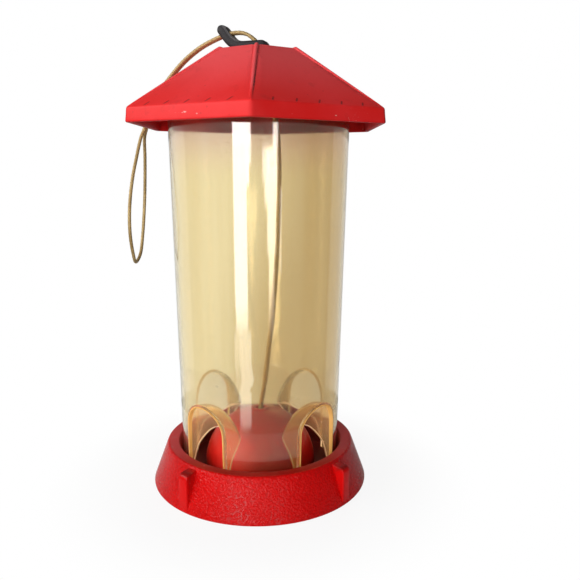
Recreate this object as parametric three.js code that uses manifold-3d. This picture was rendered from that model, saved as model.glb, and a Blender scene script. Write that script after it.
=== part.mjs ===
// A hanging tube bird feeder, in millimetres, +Z up.
// The origin is the middle of the tray's foot, and the four ports face +X, +Y, -X and -Y.
import * as THREE from 'three';
import { mergeVertices } from 'three/addons/utils/BufferGeometryUtils.js';
import Module from 'manifold-3d';

const wasm = await Module();
wasm.setup();

// Clearance between pieces that rest on each other
const SEAT_GAP = 0.3;

// Reservoir tube
const TUBE_LENGTH = 217.8;
const TUBE_MOUTH_RADIUS = 51.3;
const TUBE_FOOT_RADIUS = 46.7;
const TUBE_WALL = 1.8;

// Ports in the tube's foot and the hood behind each one
const PORT_COUNT = 4;
const PORT_WIDTH = 28;
const PORT_HEIGHT = 48;
const HOOD_WALL = 1.8;
const HOOD_REACH = 19;
const HOOD_FALL = 18.2;
const HOOD_TAPER = 5;
// The hood's lower edge: how far in from the tube's wall, and how high above the tube's foot
const HOOD_EDGE = [[0, -1], [2.9, 7.5], [6.9, 19.2], [10.9, 24], [19, 29.8]];

// Base tray
const TRAY_HEIGHT = 24;
const TRAY_WALL = 2.2;
const FLOOR_HEIGHT = 6;
const RIM_PLAY = 2.2;
const RIM_WIDTH = 6.8;
const RIM_ROUND = 1.6;
const BOWL_DRAFT = 1;
const SKIRT_FLARE = 8.9;
const HUB_HEIGHT = 12;
const HUB_DRAFT = 7;
const FIN_COUNT = 4;
const FIN_WIDTH = 7.6;
const FIN_INSET = 1.5;
const FIN_DROP = 2;
const FIN_ROUND = 1.8;
const FIN_EDGE = 0.5;

// Seed dome
const DOME_RADIUS = 33.6;
const DOME_SKIRT = 2.2;
const DOME_WALL = 1.8;
const DOME_PLAY = 0.4;

// Roof
const EAVE_RADIUS = 76;
const FASCIA_HEIGHT = 7.5;
const FASCIA_FLARE = 0.9;
const PLATEAU_RADIUS = 23.9;
const ROOF_RISE = 33.3;
const ROOF_WALL = 2.2;
const ROOF_TURN = 40.9;
const BEAD_RADIUS = 1.35;
const BEAD_SINK = 0.6;
const COLLAR_DEPTH = 5.5;
const COLLAR_WALL = 1.8;
const COLLAR_PLAY = 0.7;

// Hanging cable: two strands side by side in one upright plane
const CABLE_DIAMETER = 2;
const STRAND_PITCH = 2.5;
const CABLE_PLAY = 0.65;
const CABLE_SIDES = 8;
const CABLE_TURN = 201.8;
const CABLE_TAIL = 1.5;

// Cable keeper
const KEEPER_THICKNESS = 5.6;
const KEEPER_WIDTH = 10.4;
const KEEPER_BACK = 5.2;
const KEEPER_FLAT = 7.6;
const KEEPER_BEND_RADIUS = 10;
const KEEPER_BEND = 52;
const KEEPER_TIP = 5.2;
const KEEPER_ROUND = 1.2;
const FLAT_EYE_START = -2.2;
const FLAT_EYE_LENGTH = 6.7;
const TIP_EYE_ALONG = 2.6;
const TIP_EYE_LENGTH = 6.8;

// Anchor under the tray
const WASHER_RADIUS = 8;
const WASHER_THICKNESS = 1.2;
const FERRULE_LENGTH = 8;
const FERRULE_WALL = 1.2;

// Facets round a full turn
const ROUND = 72;

// Heights and radii that follow from the sizes above
const tubeFoot = FLOOR_HEIGHT + SEAT_GAP;
const tubeTop = tubeFoot + TUBE_LENGTH;
const tubeTaper = (TUBE_MOUTH_RADIUS - TUBE_FOOT_RADIUS) / TUBE_LENGTH;
const tubeRadius = (z) => TUBE_FOOT_RADIUS + tubeTaper * (z - tubeFoot);
const cableHole = STRAND_PITCH / 2 + CABLE_DIAMETER / 2 + CABLE_PLAY;

const portTop = tubeFoot + PORT_HEIGHT;
const portPlane = tubeRadius(portTop);
const hoodEnd = TUBE_FOOT_RADIUS - TUBE_WALL - HOOD_REACH;

const bowlRim = tubeRadius(TRAY_HEIGHT) + RIM_PLAY;
const bowlFloor = bowlRim - BOWL_DRAFT;
const rimOuter = bowlRim + RIM_WIDTH;
const trayRadius = rimOuter + SKIRT_FLARE;
const skirtRadius = (z) => trayRadius - (SKIRT_FLARE * z) / TRAY_HEIGHT;
const floorUnder = FLOOR_HEIGHT - TRAY_WALL;
const hubFoot = DOME_RADIUS - DOME_WALL - DOME_PLAY;
const hubTop = FLOOR_HEIGHT + HUB_HEIGHT;
const hubUnder = hubTop - TRAY_WALL;

const domeFoot = FLOOR_HEIGHT + SEAT_GAP;
const domeCentre = domeFoot + DOME_SKIRT;

const hexagon = Math.cos(Math.PI / 6);
const roofFall = ROOF_RISE / ((EAVE_RADIUS - PLATEAU_RADIUS) * hexagon);
const roofDrop = ROOF_WALL * Math.hypot(1, roofFall);
const eaveFlat = EAVE_RADIUS * hexagon;
const eaveTop = tubeTop + SEAT_GAP + roofDrop - (eaveFlat - TUBE_MOUTH_RADIUS) * roofFall;
const eaveBottom = eaveTop - FASCIA_HEIGHT;
const plateau = eaveTop + ROOF_RISE;
const collarRadius = TUBE_MOUTH_RADIUS - TUBE_WALL - COLLAR_PLAY;

const washerTop = hubUnder - SEAT_GAP;
const ferruleTop = washerTop - WASHER_THICKNESS - SEAT_GAP;
const ferruleBottom = ferruleTop - FERRULE_LENGTH;
const cableEnd = ferruleBottom - CABLE_TAIL;
const eyeWidth = 2 * cableHole;

// The doubled cable's route, out from the axis and up, in the cable's own upright plane
const RISE = [
  [0, cableEnd], [0, 24], [0, 38], [-0.6, 44.5], [-3.2, 59.8], [-5.5, 79], [-7.8, 97.6], [-9.4, 116],
  [-10.9, 139.6], [-11.8, 162.8], [-12.1, 185.4], [-11.8, 197], [-10.8, 208], [-8.4, 219], [-4.8, 229],
  [-1.6, 238], [0, 246], [0.2, 250.6], [1.4, 254.9], [3.6, 257.2], [7, 259.4], [10.6, 260.4], [15.5, 260.4],
  [20.6, 259.5], [27.9, 257.2], [36.2, 253.6], [46.1, 247.2], [54.9, 239.2], [63.2, 230], [70.8, 219],
  [74.3, 208.8],
];

// The slack loop that hangs off the eave: out, across and up, from the near strand round to the far one
const LOOP = [
  [75.1, 3.6, 204.2], [75, 9.3, 192.7], [74.7, 14.6, 181.4], [73.7, 19.5, 170.3], [72.7, 22.9, 159.1],
  [72.9, 22.7, 147.8], [75.2, 16.9, 135.5], [78.1, 9.7, 129.3], [79.9, 1.5, 133.3], [81.9, -5.2, 144.9],
  [82.1, -7.8, 157], [81.4, -8.4, 169.1], [79.9, -7.1, 181.2], [78.2, -5.1, 193], [76.3, -2.4, 204.5],
];

// Heights where the cable passes from one body to the next
const DOME_SPLIT = 44;
const TUBE_SPLIT = 128;
const ROOF_SPLIT = 212;
const KEEPER_SPLIT = 250.6;

const red = new THREE.MeshStandardMaterial({ color: 0xc4161c, roughness: 0.45, metalness: 0 });
const clear = new THREE.MeshStandardMaterial({
  color: 0xdcc88e, roughness: 0.2, metalness: 0, transparent: true, opacity: 0.4,
});
const black = new THREE.MeshStandardMaterial({ color: 0x1d1d20, roughness: 0.7, metalness: 0 });
const steel = new THREE.MeshStandardMaterial({ color: 0x9a7f4d, roughness: 0.4, metalness: 0.8 });
const zinc = new THREE.MeshStandardMaterial({ color: 0xb4b6b8, roughness: 0.4, metalness: 0.9 });

// A closed body from a three.js geometry
function solid(geometry) {
  geometry.deleteAttribute('normal');
  geometry.deleteAttribute('uv');
  const merged = mergeVertices(geometry, 1e-4);
  const triangles = [];
  for (let i = 0; i < merged.index.count; i += 3) {
    const a = merged.index.getX(i);
    const b = merged.index.getX(i + 1);
    const c = merged.index.getX(i + 2);
    if (a !== b && b !== c && c !== a) {
      triangles.push(a, b, c);
    }
  }
  return new wasm.Manifold(new wasm.Mesh({
    numProp: 3,
    vertProperties: new Float32Array(merged.attributes.position.array),
    triVerts: new Uint32Array(triangles),
  }));
}

// A named mesh from a closed body
function piece(name, body, material) {
  const mesh = body.getMesh();
  const geometry = new THREE.BufferGeometry();
  geometry.setAttribute('position', new THREE.BufferAttribute(mesh.vertProperties, 3));
  geometry.setIndex(new THREE.BufferAttribute(mesh.triVerts, 1));
  geometry.computeVertexNormals();
  const node = new THREE.Mesh(geometry, material);
  node.name = name;
  return node;
}

// A body of revolution about Z from a profile of radius and height
function turned(points, segments = ROUND, start = 0) {
  const profile = points.map(([radius, z]) => new THREE.Vector2(radius, z));
  if (THREE.ShapeUtils.isClockWise(profile)) {
    profile.reverse();
  }
  profile.push(profile[0].clone());
  const geometry = new THREE.LatheGeometry(profile, segments, THREE.MathUtils.degToRad(start));
  return solid(geometry.rotateX(Math.PI / 2));
}

// An upright round plug, for holes
function plug(radius, bottom, top) {
  const geometry = new THREE.CylinderGeometry(radius, radius, top - bottom, 32);
  geometry.rotateX(Math.PI / 2);
  return solid(geometry.translate(0, 0, (bottom + top) / 2));
}

// Points on an arc in a profile, angles in degrees
function arc(centre, height, radius, from, to, steps) {
  return Array.from({ length: steps + 1 }, (_, i) => {
    const angle = THREE.MathUtils.degToRad(from + ((to - from) * i) / steps);
    return [centre + radius * Math.cos(angle), height + radius * Math.sin(angle)];
  });
}

// A flat outline in out-and-up, given its width across and stood upright on the axis
function upright(shape, width, round = 0) {
  const geometry = new THREE.ExtrudeGeometry(shape, {
    depth: width - 2 * round,
    curveSegments: 12,
    bevelEnabled: round > 0,
    bevelSize: round,
    bevelThickness: round,
    bevelOffset: -round,
    bevelSegments: 3,
  });
  geometry.translate(0, 0, round - width / 2);
  return geometry.rotateX(Math.PI / 2);
}

const outline = (points) => new THREE.Shape(points.map(([x, y]) => new THREE.Vector2(x, y)));

// A scoop that runs inwards from a port's face, and falls and closes the faster the further in it goes
function scoop(extra, from, to) {
  const low = -TUBE_LENGTH / 4;
  const reaches = [from, ...Array.from({ length: 11 }, (_, i) => portPlane + ((to - portPlane) * i) / 10)];
  const points = [];
  for (const x of reaches) {
    const share = Math.max(0, (portPlane - x) / (portPlane - hoodEnd)) ** 3;
    const half = PORT_WIDTH / 2 - HOOD_TAPER * share + extra;
    const spring = portTop - PORT_WIDTH / 2 - (HOOD_FALL - HOOD_TAPER) * share;
    points.push([x, -half, low], [x, half, low]);
    points.push(...arc(0, spring, half, 0, 180, 18).map(([y, z]) => [x, y, z]));
  }
  const count = points.length / reaches.length;
  const faces = [];
  for (let i = 0; i + 1 < reaches.length; i += 1) {
    for (let j = 0; j < count; j += 1) {
      const a = i * count + j;
      const b = i * count + ((j + 1) % count);
      faces.push(a, b + count, b, a, a + count, b + count);
    }
  }
  const last = points.length - count;
  for (let j = 1; j + 1 < count; j += 1) {
    faces.push(0, j, j + 1, last, last + j + 1, last + j);
  }
  const geometry = new THREE.BufferGeometry();
  geometry.setAttribute('position', new THREE.Float32BufferAttribute(points.flat(), 3));
  geometry.setIndex(faces);
  return geometry;
}

// The clear tube with its ports and hoods
function reservoirTube() {
  let body = turned([
    [TUBE_FOOT_RADIUS, tubeFoot],
    [TUBE_MOUTH_RADIUS, tubeTop],
    [TUBE_MOUTH_RADIUS - TUBE_WALL, tubeTop],
    [TUBE_FOOT_RADIUS - TUBE_WALL, tubeFoot],
  ]);
  const skin = turned([[0, tubeFoot], [TUBE_FOOT_RADIUS, tubeFoot], [TUBE_MOUTH_RADIUS, tubeTop], [0, tubeTop]]);
  const edge = HOOD_EDGE.map(([inward, up]) => [TUBE_FOOT_RADIUS - TUBE_WALL - inward, tubeFoot + up]);
  const near = hoodEnd - 1;
  const far = TUBE_MOUTH_RADIUS + HOOD_REACH;
  const low = -TUBE_LENGTH;
  const below = outline([[near, low], [far, low], [far, edge[0][1]], ...edge, [near, edge[edge.length - 1][1]]]);
  for (let i = 0; i < PORT_COUNT; i += 1) {
    const turn = (i * 2 * Math.PI) / PORT_COUNT;
    const hood = solid(scoop(HOOD_WALL, far, hoodEnd).rotateZ(turn));
    const under = solid(upright(below, 2 * PORT_WIDTH).rotateZ(turn));
    body = body.add(hood.intersect(skin).subtract(under));
  }
  for (let i = 0; i < PORT_COUNT; i += 1) {
    const turn = (i * 2 * Math.PI) / PORT_COUNT;
    body = body.subtract(solid(scoop(0, far + 1, near).rotateZ(turn)));
  }
  return piece('reservoir_tube', body, clear);
}

// The tray: a skirt, a flat rim, a bowl and a hub, with a fin outside each port
function baseTray() {
  const lean = THREE.MathUtils.radToDeg(Math.atan2(SKIRT_FLARE, TRAY_HEIGHT));
  const slant = Math.hypot(1, SKIRT_FLARE / TRAY_HEIGHT);
  const shoulder = THREE.MathUtils.degToRad(lean);
  const roundCentre = rimOuter - (RIM_ROUND * (1 - Math.sin(shoulder))) / Math.cos(shoulder);
  const rimUnder = TRAY_HEIGHT - TRAY_WALL;
  let body = turned([
    [cableHole, hubUnder],
    [hubFoot - HUB_DRAFT - TRAY_WALL, hubUnder],
    [hubFoot - TRAY_WALL, floorUnder],
    [bowlFloor + TRAY_WALL, floorUnder],
    [bowlRim + TRAY_WALL, rimUnder],
    [skirtRadius(rimUnder) - TRAY_WALL * slant, rimUnder],
    [trayRadius - TRAY_WALL * slant, 0],
    [trayRadius, 0],
    ...arc(roundCentre, TRAY_HEIGHT - RIM_ROUND, RIM_ROUND, lean, 90, 4),
    ...arc(bowlRim + RIM_ROUND / 2, TRAY_HEIGHT - RIM_ROUND / 2, RIM_ROUND / 2, 90, 180, 3),
    [bowlFloor, FLOOR_HEIGHT],
    [hubFoot, FLOOR_HEIGHT],
    [hubFoot, domeCentre],
    [hubFoot - HUB_DRAFT, hubTop],
    [cableHole, hubTop],
  ]);
  const finRadius = trayRadius - FIN_INSET;
  const finTop = TRAY_HEIGHT - FIN_DROP;
  const meet = (TRAY_HEIGHT * FIN_INSET) / SKIRT_FLARE;
  const finFoot = 0.7 * meet;
  const inside = 0.8 * TRAY_WALL;
  const fin = outline([
    [skirtRadius(finFoot) - inside, finFoot],
    [finRadius, finFoot],
    ...arc(finRadius - FIN_ROUND, finTop - FIN_ROUND, FIN_ROUND, 0, 80, 4),
    [skirtRadius(finTop) - inside, finTop + FIN_DROP / 3],
  ]);
  for (let i = 0; i < FIN_COUNT; i += 1) {
    const geometry = upright(fin, FIN_WIDTH, FIN_EDGE);
    body = body.add(solid(geometry.rotateZ((i * 2 * Math.PI) / FIN_COUNT)));
  }
  return piece('base_tray', body, red);
}

// The dome that spreads seed out to the ports
function seedDome() {
  const inner = DOME_RADIUS - DOME_WALL;
  const lip = THREE.MathUtils.radToDeg(Math.acos(cableHole / DOME_RADIUS));
  const innerLip = THREE.MathUtils.radToDeg(Math.acos(cableHole / inner));
  return piece('seed_dome', turned([
    [DOME_RADIUS, domeFoot],
    ...arc(0, domeCentre, DOME_RADIUS, 0, lip, 14),
    ...arc(0, domeCentre, inner, innerLip, 0, 12),
    [inner, domeFoot],
  ]), red);
}

// The roof's outer form, lowered for the half-thickness form that the collar runs up into
function roofForm(lower) {
  return turned([
    [0, eaveBottom],
    [EAVE_RADIUS + FASCIA_FLARE, eaveBottom],
    [EAVE_RADIUS, eaveTop - lower],
    [PLATEAU_RADIUS, plateau - lower],
    [0, plateau - lower],
  ], 6, ROOF_TURN);
}

// The six-sided roof with beads along its hips and a collar for the tube's mouth
function roof() {
  const innerFlat = eaveFlat - ROOF_WALL;
  const innerEave = eaveTop + ROOF_WALL * roofFall - roofDrop;
  const innerPlateau = eaveFlat - (ROOF_RISE - ROOF_WALL + roofDrop) / roofFall;
  const below = eaveBottom - FASCIA_HEIGHT;
  const innerFlare = (FASCIA_FLARE * (innerEave - below)) / FASCIA_HEIGHT;
  const hollow = turned([
    [0, below],
    [innerFlat / hexagon + innerFlare, below],
    [innerFlat / hexagon, innerEave],
    [innerPlateau / hexagon, plateau - ROOF_WALL],
    [0, plateau - ROOF_WALL],
  ], 6, ROOF_TURN);
  const collar = turned([
    [collarRadius, tubeTop - COLLAR_DEPTH],
    [collarRadius, plateau],
    [collarRadius - COLLAR_WALL, plateau],
    [collarRadius - COLLAR_WALL, tubeTop - COLLAR_DEPTH],
  ]);
  let body = roofForm(0).subtract(hollow).add(collar.intersect(roofForm(roofDrop / 2)));
  body = body.subtract(plug(cableHole + SEAT_GAP, plateau - 2 * ROOF_WALL, plateau + ROOF_WALL));
  const run = EAVE_RADIUS - PLATEAU_RADIUS;
  const length = Math.hypot(run, ROOF_RISE);
  const along = new THREE.Vector3(-run / length, 0, ROOF_RISE / length);
  const across = new THREE.Vector3(ROOF_RISE / length, 0, run / length);
  const end = new THREE.Vector3(PLATEAU_RADIUS, 0, plateau).addScaledVector(across, -BEAD_SINK);
  const span = length - 2 * BEAD_RADIUS;
  const middle = end.clone().addScaledVector(along, -span / 2);
  const lean = new THREE.Quaternion().setFromUnitVectors(new THREE.Vector3(0, 1, 0), along);
  for (let i = 0; i < 6; i += 1) {
    const turn = THREE.MathUtils.degToRad(ROOF_TURN - 90 + 60 * i);
    const bead = new THREE.CylinderGeometry(BEAD_RADIUS, BEAD_SINK, span, 12);
    bead.applyQuaternion(lean).translate(middle.x, middle.y, middle.z);
    body = body.add(solid(bead.rotateZ(turn)));
    const knob = new THREE.SphereGeometry(BEAD_RADIUS, 12, 8);
    knob.applyQuaternion(lean).translate(end.x, end.y, end.z);
    body = body.add(solid(knob.rotateZ(turn)));
  }
  return piece('roof', body, red);
}

// An upright slot-ended outline: two half circles joined by straight sides
function slot(length, width) {
  const half = (length - width) / 2;
  const shape = new THREE.Shape();
  shape.absarc(half, 0, width / 2, -Math.PI / 2, Math.PI / 2, false);
  shape.absarc(-half, 0, width / 2, Math.PI / 2, (3 * Math.PI) / 2, false);
  shape.closePath();
  return shape;
}

// The black slider on the roof: flat at one eye, bent up at the other
function cableKeeper() {
  const under = plateau + SEAT_GAP;
  const outer = KEEPER_BEND_RADIUS + KEEPER_THICKNESS;
  const half = KEEPER_THICKNESS / 2;
  const centre = under + outer;
  const bend = THREE.MathUtils.degToRad(KEEPER_BEND);
  const along = [Math.cos(bend), Math.sin(bend)];
  const middle = KEEPER_BEND_RADIUS + half;
  const bendEnd = [KEEPER_FLAT + middle * Math.sin(bend), centre - middle * Math.cos(bend)];
  const tip = [bendEnd[0] + KEEPER_TIP * along[0], bendEnd[1] + KEEPER_TIP * along[1]];
  const side = outline([
    ...arc(half - KEEPER_BACK, under + half, half, 90, 270, 8),
    ...arc(KEEPER_FLAT, centre, outer, -90, KEEPER_BEND - 90, 8),
    ...arc(tip[0], tip[1], half, KEEPER_BEND - 90, KEEPER_BEND + 90, 8),
    ...arc(KEEPER_FLAT, centre, KEEPER_BEND_RADIUS, KEEPER_BEND - 90, -90, 8),
  ]);
  const body = solid(upright(side, KEEPER_WIDTH, KEEPER_ROUND));
  const cut = { depth: 4 * KEEPER_THICKNESS, bevelEnabled: false, curveSegments: 12 };
  const flatEye = new THREE.ExtrudeGeometry(slot(FLAT_EYE_LENGTH, eyeWidth), cut);
  flatEye.translate(FLAT_EYE_START + FLAT_EYE_LENGTH / 2, 0, under - 2 * KEEPER_THICKNESS);
  const tipEye = new THREE.ExtrudeGeometry(slot(TIP_EYE_LENGTH, eyeWidth), cut);
  tipEye.translate(0, 0, -2 * KEEPER_THICKNESS);
  tipEye.rotateY(-bend);
  tipEye.translate(bendEnd[0] + TIP_EYE_ALONG * along[0], 0, bendEnd[1] + TIP_EYE_ALONG * along[1]);
  return piece('cable_keeper', body.subtract(solid(flatEye)).subtract(solid(tipEye)), black);
}

// The washer that spreads the cable's pull under the hub
function anchorWasher() {
  return piece('anchor_washer', turned([
    [WASHER_RADIUS, washerTop - WASHER_THICKNESS],
    [WASHER_RADIUS, washerTop],
    [cableHole, washerTop],
    [cableHole, washerTop - WASHER_THICKNESS],
  ], 40), zinc);
}

// The double sleeve crimped on the cable's two ends
function crimpFerrule() {
  const bore = CABLE_DIAMETER + 2 * SEAT_GAP;
  const sleeve = bore + 2 * FERRULE_WALL;
  const shape = slot(sleeve + STRAND_PITCH, sleeve);
  shape.holes.push(new THREE.Path(slot(bore + STRAND_PITCH, bore).getPoints(10)));
  const geometry = new THREE.ExtrudeGeometry(shape, { depth: FERRULE_LENGTH, bevelEnabled: false, curveSegments: 10 });
  geometry.rotateZ(Math.PI / 2).translate(0, 0, ferruleBottom);
  return piece('crimp_ferrule', solid(geometry), zinc);
}

// Part of a longer curve, by its length
class Stretch extends THREE.Curve {
  constructor(curve, from, to) {
    super();
    this.curve = curve;
    this.from = from;
    this.to = to;
  }

  getPoint(t, target = new THREE.Vector3()) {
    return this.curve.getPointAt(THREE.MathUtils.lerp(this.from, this.to, t), target);
  }
}

// The cable's stretches: up one strand, round the loop and down the other
function cableNodes() {
  const half = STRAND_PITCH / 2;
  const near = RISE.map(([out, up]) => new THREE.Vector3(out, half, up));
  const far = RISE.map(([out, up]) => new THREE.Vector3(out, -half, up)).reverse();
  const curve = new THREE.CatmullRomCurve3([...near, ...LOOP.map((p) => new THREE.Vector3(...p)), ...far]);
  curve.arcLengthDivisions = 3000;
  const total = curve.getLength();
  // Share of the cable's length at which a strand first reaches a height
  const reach = (height) => {
    let low = 0;
    let high = 0.45;
    const top = curve.getPointAt(high);
    while (top.z < height) {
      high -= 0.01;
      curve.getPointAt(high, top);
    }
    for (let i = 0; i < 40; i += 1) {
      const middle = (low + high) / 2;
      if (curve.getPointAt(middle, top).z < height) {
        low = middle;
      } else {
        high = middle;
      }
    }
    return low;
  };
  const circle = new THREE.Shape();
  circle.absarc(0, 0, CABLE_DIAMETER / 2, 0, 2 * Math.PI, false);
  const skin = SEAT_GAP / 2 / total;
  const stretch = (name, from, to, steps) => {
    const geometry = new THREE.ExtrudeGeometry(circle, {
      steps,
      curveSegments: CABLE_SIDES / 2,
      extrudePath: new Stretch(curve, from, to),
    });
    return piece(name, solid(geometry), steel);
  };
  const splits = [0, reach(DOME_SPLIT), reach(TUBE_SPLIT), reach(ROOF_SPLIT), reach(KEEPER_SPLIT)];
  const names = ['cable_foot', 'cable_lower', 'cable_upper', 'cable_neck'];
  const steps = [3, 5, 5, 6];
  const nodes = [];
  names.forEach((name, i) => {
    const from = i === 0 ? 0 : splits[i] + skin;
    const to = splits[i + 1] - skin;
    nodes.push(stretch(`${name}_a`, from, to, steps[i]));
    nodes.push(stretch(`${name}_b`, 1 - to, 1 - from, steps[i]));
  });
  nodes.push(stretch('hanging_loop', splits[4] + skin, 1 - splits[4] - skin, 64));
  return nodes;
}

const feeder = new THREE.Group();
feeder.name = 'bird_feeder';
feeder.add(baseTray(), seedDome(), reservoirTube(), roof(), anchorWasher());

// The keeper, the ferrule and the cable all lie in the cable's plane
const cablePlane = new THREE.Group();
cablePlane.name = 'cable_plane';
cablePlane.rotation.z = THREE.MathUtils.degToRad(CABLE_TURN);
cablePlane.add(crimpFerrule(), cableKeeper(), ...cableNodes());
feeder.add(cablePlane);

export default feeder;
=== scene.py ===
"""A hanging tube bird feeder: red roof and tray, a clear yellowed tube and a doubled wire cable."""
import math

import bmesh
import bpy
from mathutils import Matrix, Vector


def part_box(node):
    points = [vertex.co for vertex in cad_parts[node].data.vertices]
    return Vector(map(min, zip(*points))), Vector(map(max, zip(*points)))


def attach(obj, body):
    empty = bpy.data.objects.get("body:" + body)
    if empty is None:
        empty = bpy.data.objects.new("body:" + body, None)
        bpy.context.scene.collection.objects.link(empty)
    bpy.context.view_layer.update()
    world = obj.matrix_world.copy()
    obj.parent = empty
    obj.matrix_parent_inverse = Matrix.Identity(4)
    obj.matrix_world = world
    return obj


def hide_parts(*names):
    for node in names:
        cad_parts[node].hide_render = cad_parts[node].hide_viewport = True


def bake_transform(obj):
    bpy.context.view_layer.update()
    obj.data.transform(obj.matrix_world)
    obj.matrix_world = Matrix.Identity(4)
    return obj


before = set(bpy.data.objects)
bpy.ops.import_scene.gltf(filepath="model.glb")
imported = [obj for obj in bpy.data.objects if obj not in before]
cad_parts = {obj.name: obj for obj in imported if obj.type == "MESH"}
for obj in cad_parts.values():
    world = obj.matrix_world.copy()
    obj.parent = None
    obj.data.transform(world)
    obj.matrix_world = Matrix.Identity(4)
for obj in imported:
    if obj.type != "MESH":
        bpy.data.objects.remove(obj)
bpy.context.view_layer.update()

# Sizes are in millimetres up to the point where a mesh is made
MM = 0.001


def node_box(node):
    low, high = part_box(node)
    return Vector(low) / MM, Vector(high) / MM


def bearing(degrees):
    """The level direction at a bearing, with 0 towards -Y and 90 towards +X."""
    angle = math.radians(degrees)
    return Vector((math.sin(angle), -math.cos(angle), 0))


UP = Vector((0, 0, 1))


# Camera
CAMERA_BEARING = 43.8
CAMERA_REACH = 375.35
CAMERA_HEIGHT = 185.42
CAMERA_TILT = 10.59
CAMERA_YAW = 2.74
CAMERA_ROLL = 0.27
CAMERA_LENS = 39.86

# Clear tube
tube_low, tube_high = node_box("reservoir_tube")
TUBE_FOOT = tube_low.z
TUBE_TOP = tube_high.z
MOUTH_RADIUS = tube_high.x
FOOT_RADIUS = 46.7
TUBE_WALL = 1.8
TUBE_TAPER = (MOUTH_RADIUS - FOOT_RADIUS) / (TUBE_TOP - TUBE_FOOT)
PORTS = 4
PORT_HALF = 14
PORT_CROWN = 54.3
HOOD_WALL = 1.8
HOOD_END = 25.9
HOOD_FALL = 18.2
HOOD_TAPER = 5
HOOD_EDGE = ((44.9, 5.3), (42, 13.8), (38, 25.5), (34, 30.3), (25.9, 36.1))
PANEL_TOP = 75
EDGE_ROUND = 0.5
RIBBON = 0.9
# Bearing of the side where the painted tan shade is deepest
TAN_SHADE_BEARING = 133.8
# Bearing of the camera's side, by which painted shade on the tray and painted glow on the hoods and edges are
# laid out
PAINTED_LIGHT_BEARING = 43.8

# Base tray
_, tray_high = node_box("base_tray")
TRAY_RADIUS = tray_high.x
TRAY_HEIGHT = tray_high.z
TRAY_WALL = 2.2
RIM_OUTER = 56.07
BOWL_RIM = 49.27
BOWL_FLOOR = 48.27
FLOOR = 6
HUB_FOOT = 31.4
HUB_TOP = 18
HUB_DRAFT = 7
FINS = 4
FIN_WIDTH = 6.4
FIN_INSET = 0.6
FIN_TURN = 2.3
FIN_DROP = 2
FIN_ROUND = 3.2
FIN_BEVEL = 1.7
FIN_SUNK = 0.8 * TRAY_WALL
FIN_TOP_FALL = 0.7
CABLE_HOLE = 2.9

# Seed dome
dome_low, dome_high = node_box("seed_dome")
DOME_RADIUS = dome_high.x
DOME_FOOT = dome_low.z
DOME_SKIRT = 2.2
DOME_WALL = 1.8
DOME_BOSS = 5.2
DOME_BOSS_RISE = 0.9
DOME_STEPS = 40

# Roof
roof_low, _ = node_box("roof")
EAVE_BOTTOM = roof_low.z
EAVE_RADIUS = 76
FASCIA = 7.5
FASCIA_FLARE = 0.9
PLATEAU_RADIUS = 23.9
ROOF_RISE = 33.3
ROOF_WALL = 2.2
ROOF_TURN = 40.9
ROOF_HOLE = 3.2
BEAD_RISE = 0.75
BEAD_HALF = 1.25
BEAD_NARROW = 0.7
BEAD_NOSE = 2.2
GROOVE_WIDTH = 1.1
GROOVE_DEPTH = 0.35
# Hips facing this bearing get painted shade in their grooves
SHADED_GROOVE_BEARING = 70
NICK_PITCH = 12.7
NICK_MIDDLE = 2.4
NICK_SLANT = 0.55
NICK_HALF = 0.75
NICK_START = 40.5 * NICK_PITCH
COLLAR_RADIUS = 48.8
COLLAR_WALL = 1.8
COLLAR_FOOT = TUBE_TOP - 5.5
EAVE_TOP = EAVE_BOTTOM + FASCIA
PLATEAU = EAVE_TOP + ROOF_RISE

# Cable keeper
keeper_low, _ = node_box("cable_keeper")
KEEPER_UNDER = keeper_low.z
KEEPER_THICK = 5.6
KEEPER_WIDTH = 10.4
KEEPER_BACK = 5.2
KEEPER_FLAT = 7.6
KEEPER_BEND_RADIUS = 12.8
KEEPER_BEND = 52
KEEPER_TIP = 5.2
KEEPER_STEPS = 48
KEEPER_ROUND = 2.5
KEEPER_NARROW = 4
FLAT_EYE = 6.7
FLAT_EYE_OUT = 1.15
TIP_EYE = 6.8
TIP_EYE_OUT = 2.6
EYE_WIDTH = 2 * CABLE_HOLE

# Anchor under the tray
washer_low, washer_high = node_box("anchor_washer")
ferrule_low, ferrule_high = node_box("crimp_ferrule")
FERRULE_PLAY = 0.6
FERRULE_WALL = 1.2

# The ferrule's ends and crimps: how far up in eighths of its height, and how far out
FERRULE_LEVELS = [
    (0, -0.4), (0.12, -0.12), (0.4, 0), (1.6, 0), (2.2, -0.3), (2.9, -0.35), (3.5, 0), (4.5, 0), (5.1, -0.35),
    (5.8, -0.3), (6.4, 0), (7.6, 0), (7.88, -0.12), (8, -0.4),
]

# Doubled cable, in its own upright plane
CABLE_DIAMETER = 2
STRAND_PITCH = 2.5
CABLE_TURN = 201.8
CABLE_STEP = 0.7
CABLE_WIRES = 6
CABLE_LAY = 15
CABLE_SIDES = 36
WIRE_DEPTH = 0.07
CABLE_GAP = 0.15
CABLE_END = 4.5
CABLE_SPLITS = (44, 128, 212, 250.6)

# The doubled part of the route, out from the axis and up
RISE = [
    (0, CABLE_END), (0, 24), (0, 38), (-0.6, 44.5), (-3.2, 59.8), (-5.5, 79), (-7.8, 97.6), (-9.4, 116),
    (-10.9, 139.6), (-11.8, 162.8), (-12.1, 185.4), (-11.8, 197), (-10.8, 208), (-8.4, 219), (-4.8, 229),
    (-1.6, 238), (0, 246), (0.2, 250.6), (1.4, 254.9), (3.6, 257.2), (7, 259.4), (10.6, 260.4), (15.5, 260.4),
    (20.6, 259.5), (27.9, 257.2), (36.2, 253.6), (46.1, 247.2), (54.9, 239.2), (63.2, 230), (70.8, 219),
    (74.3, 208.8),
]

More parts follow.
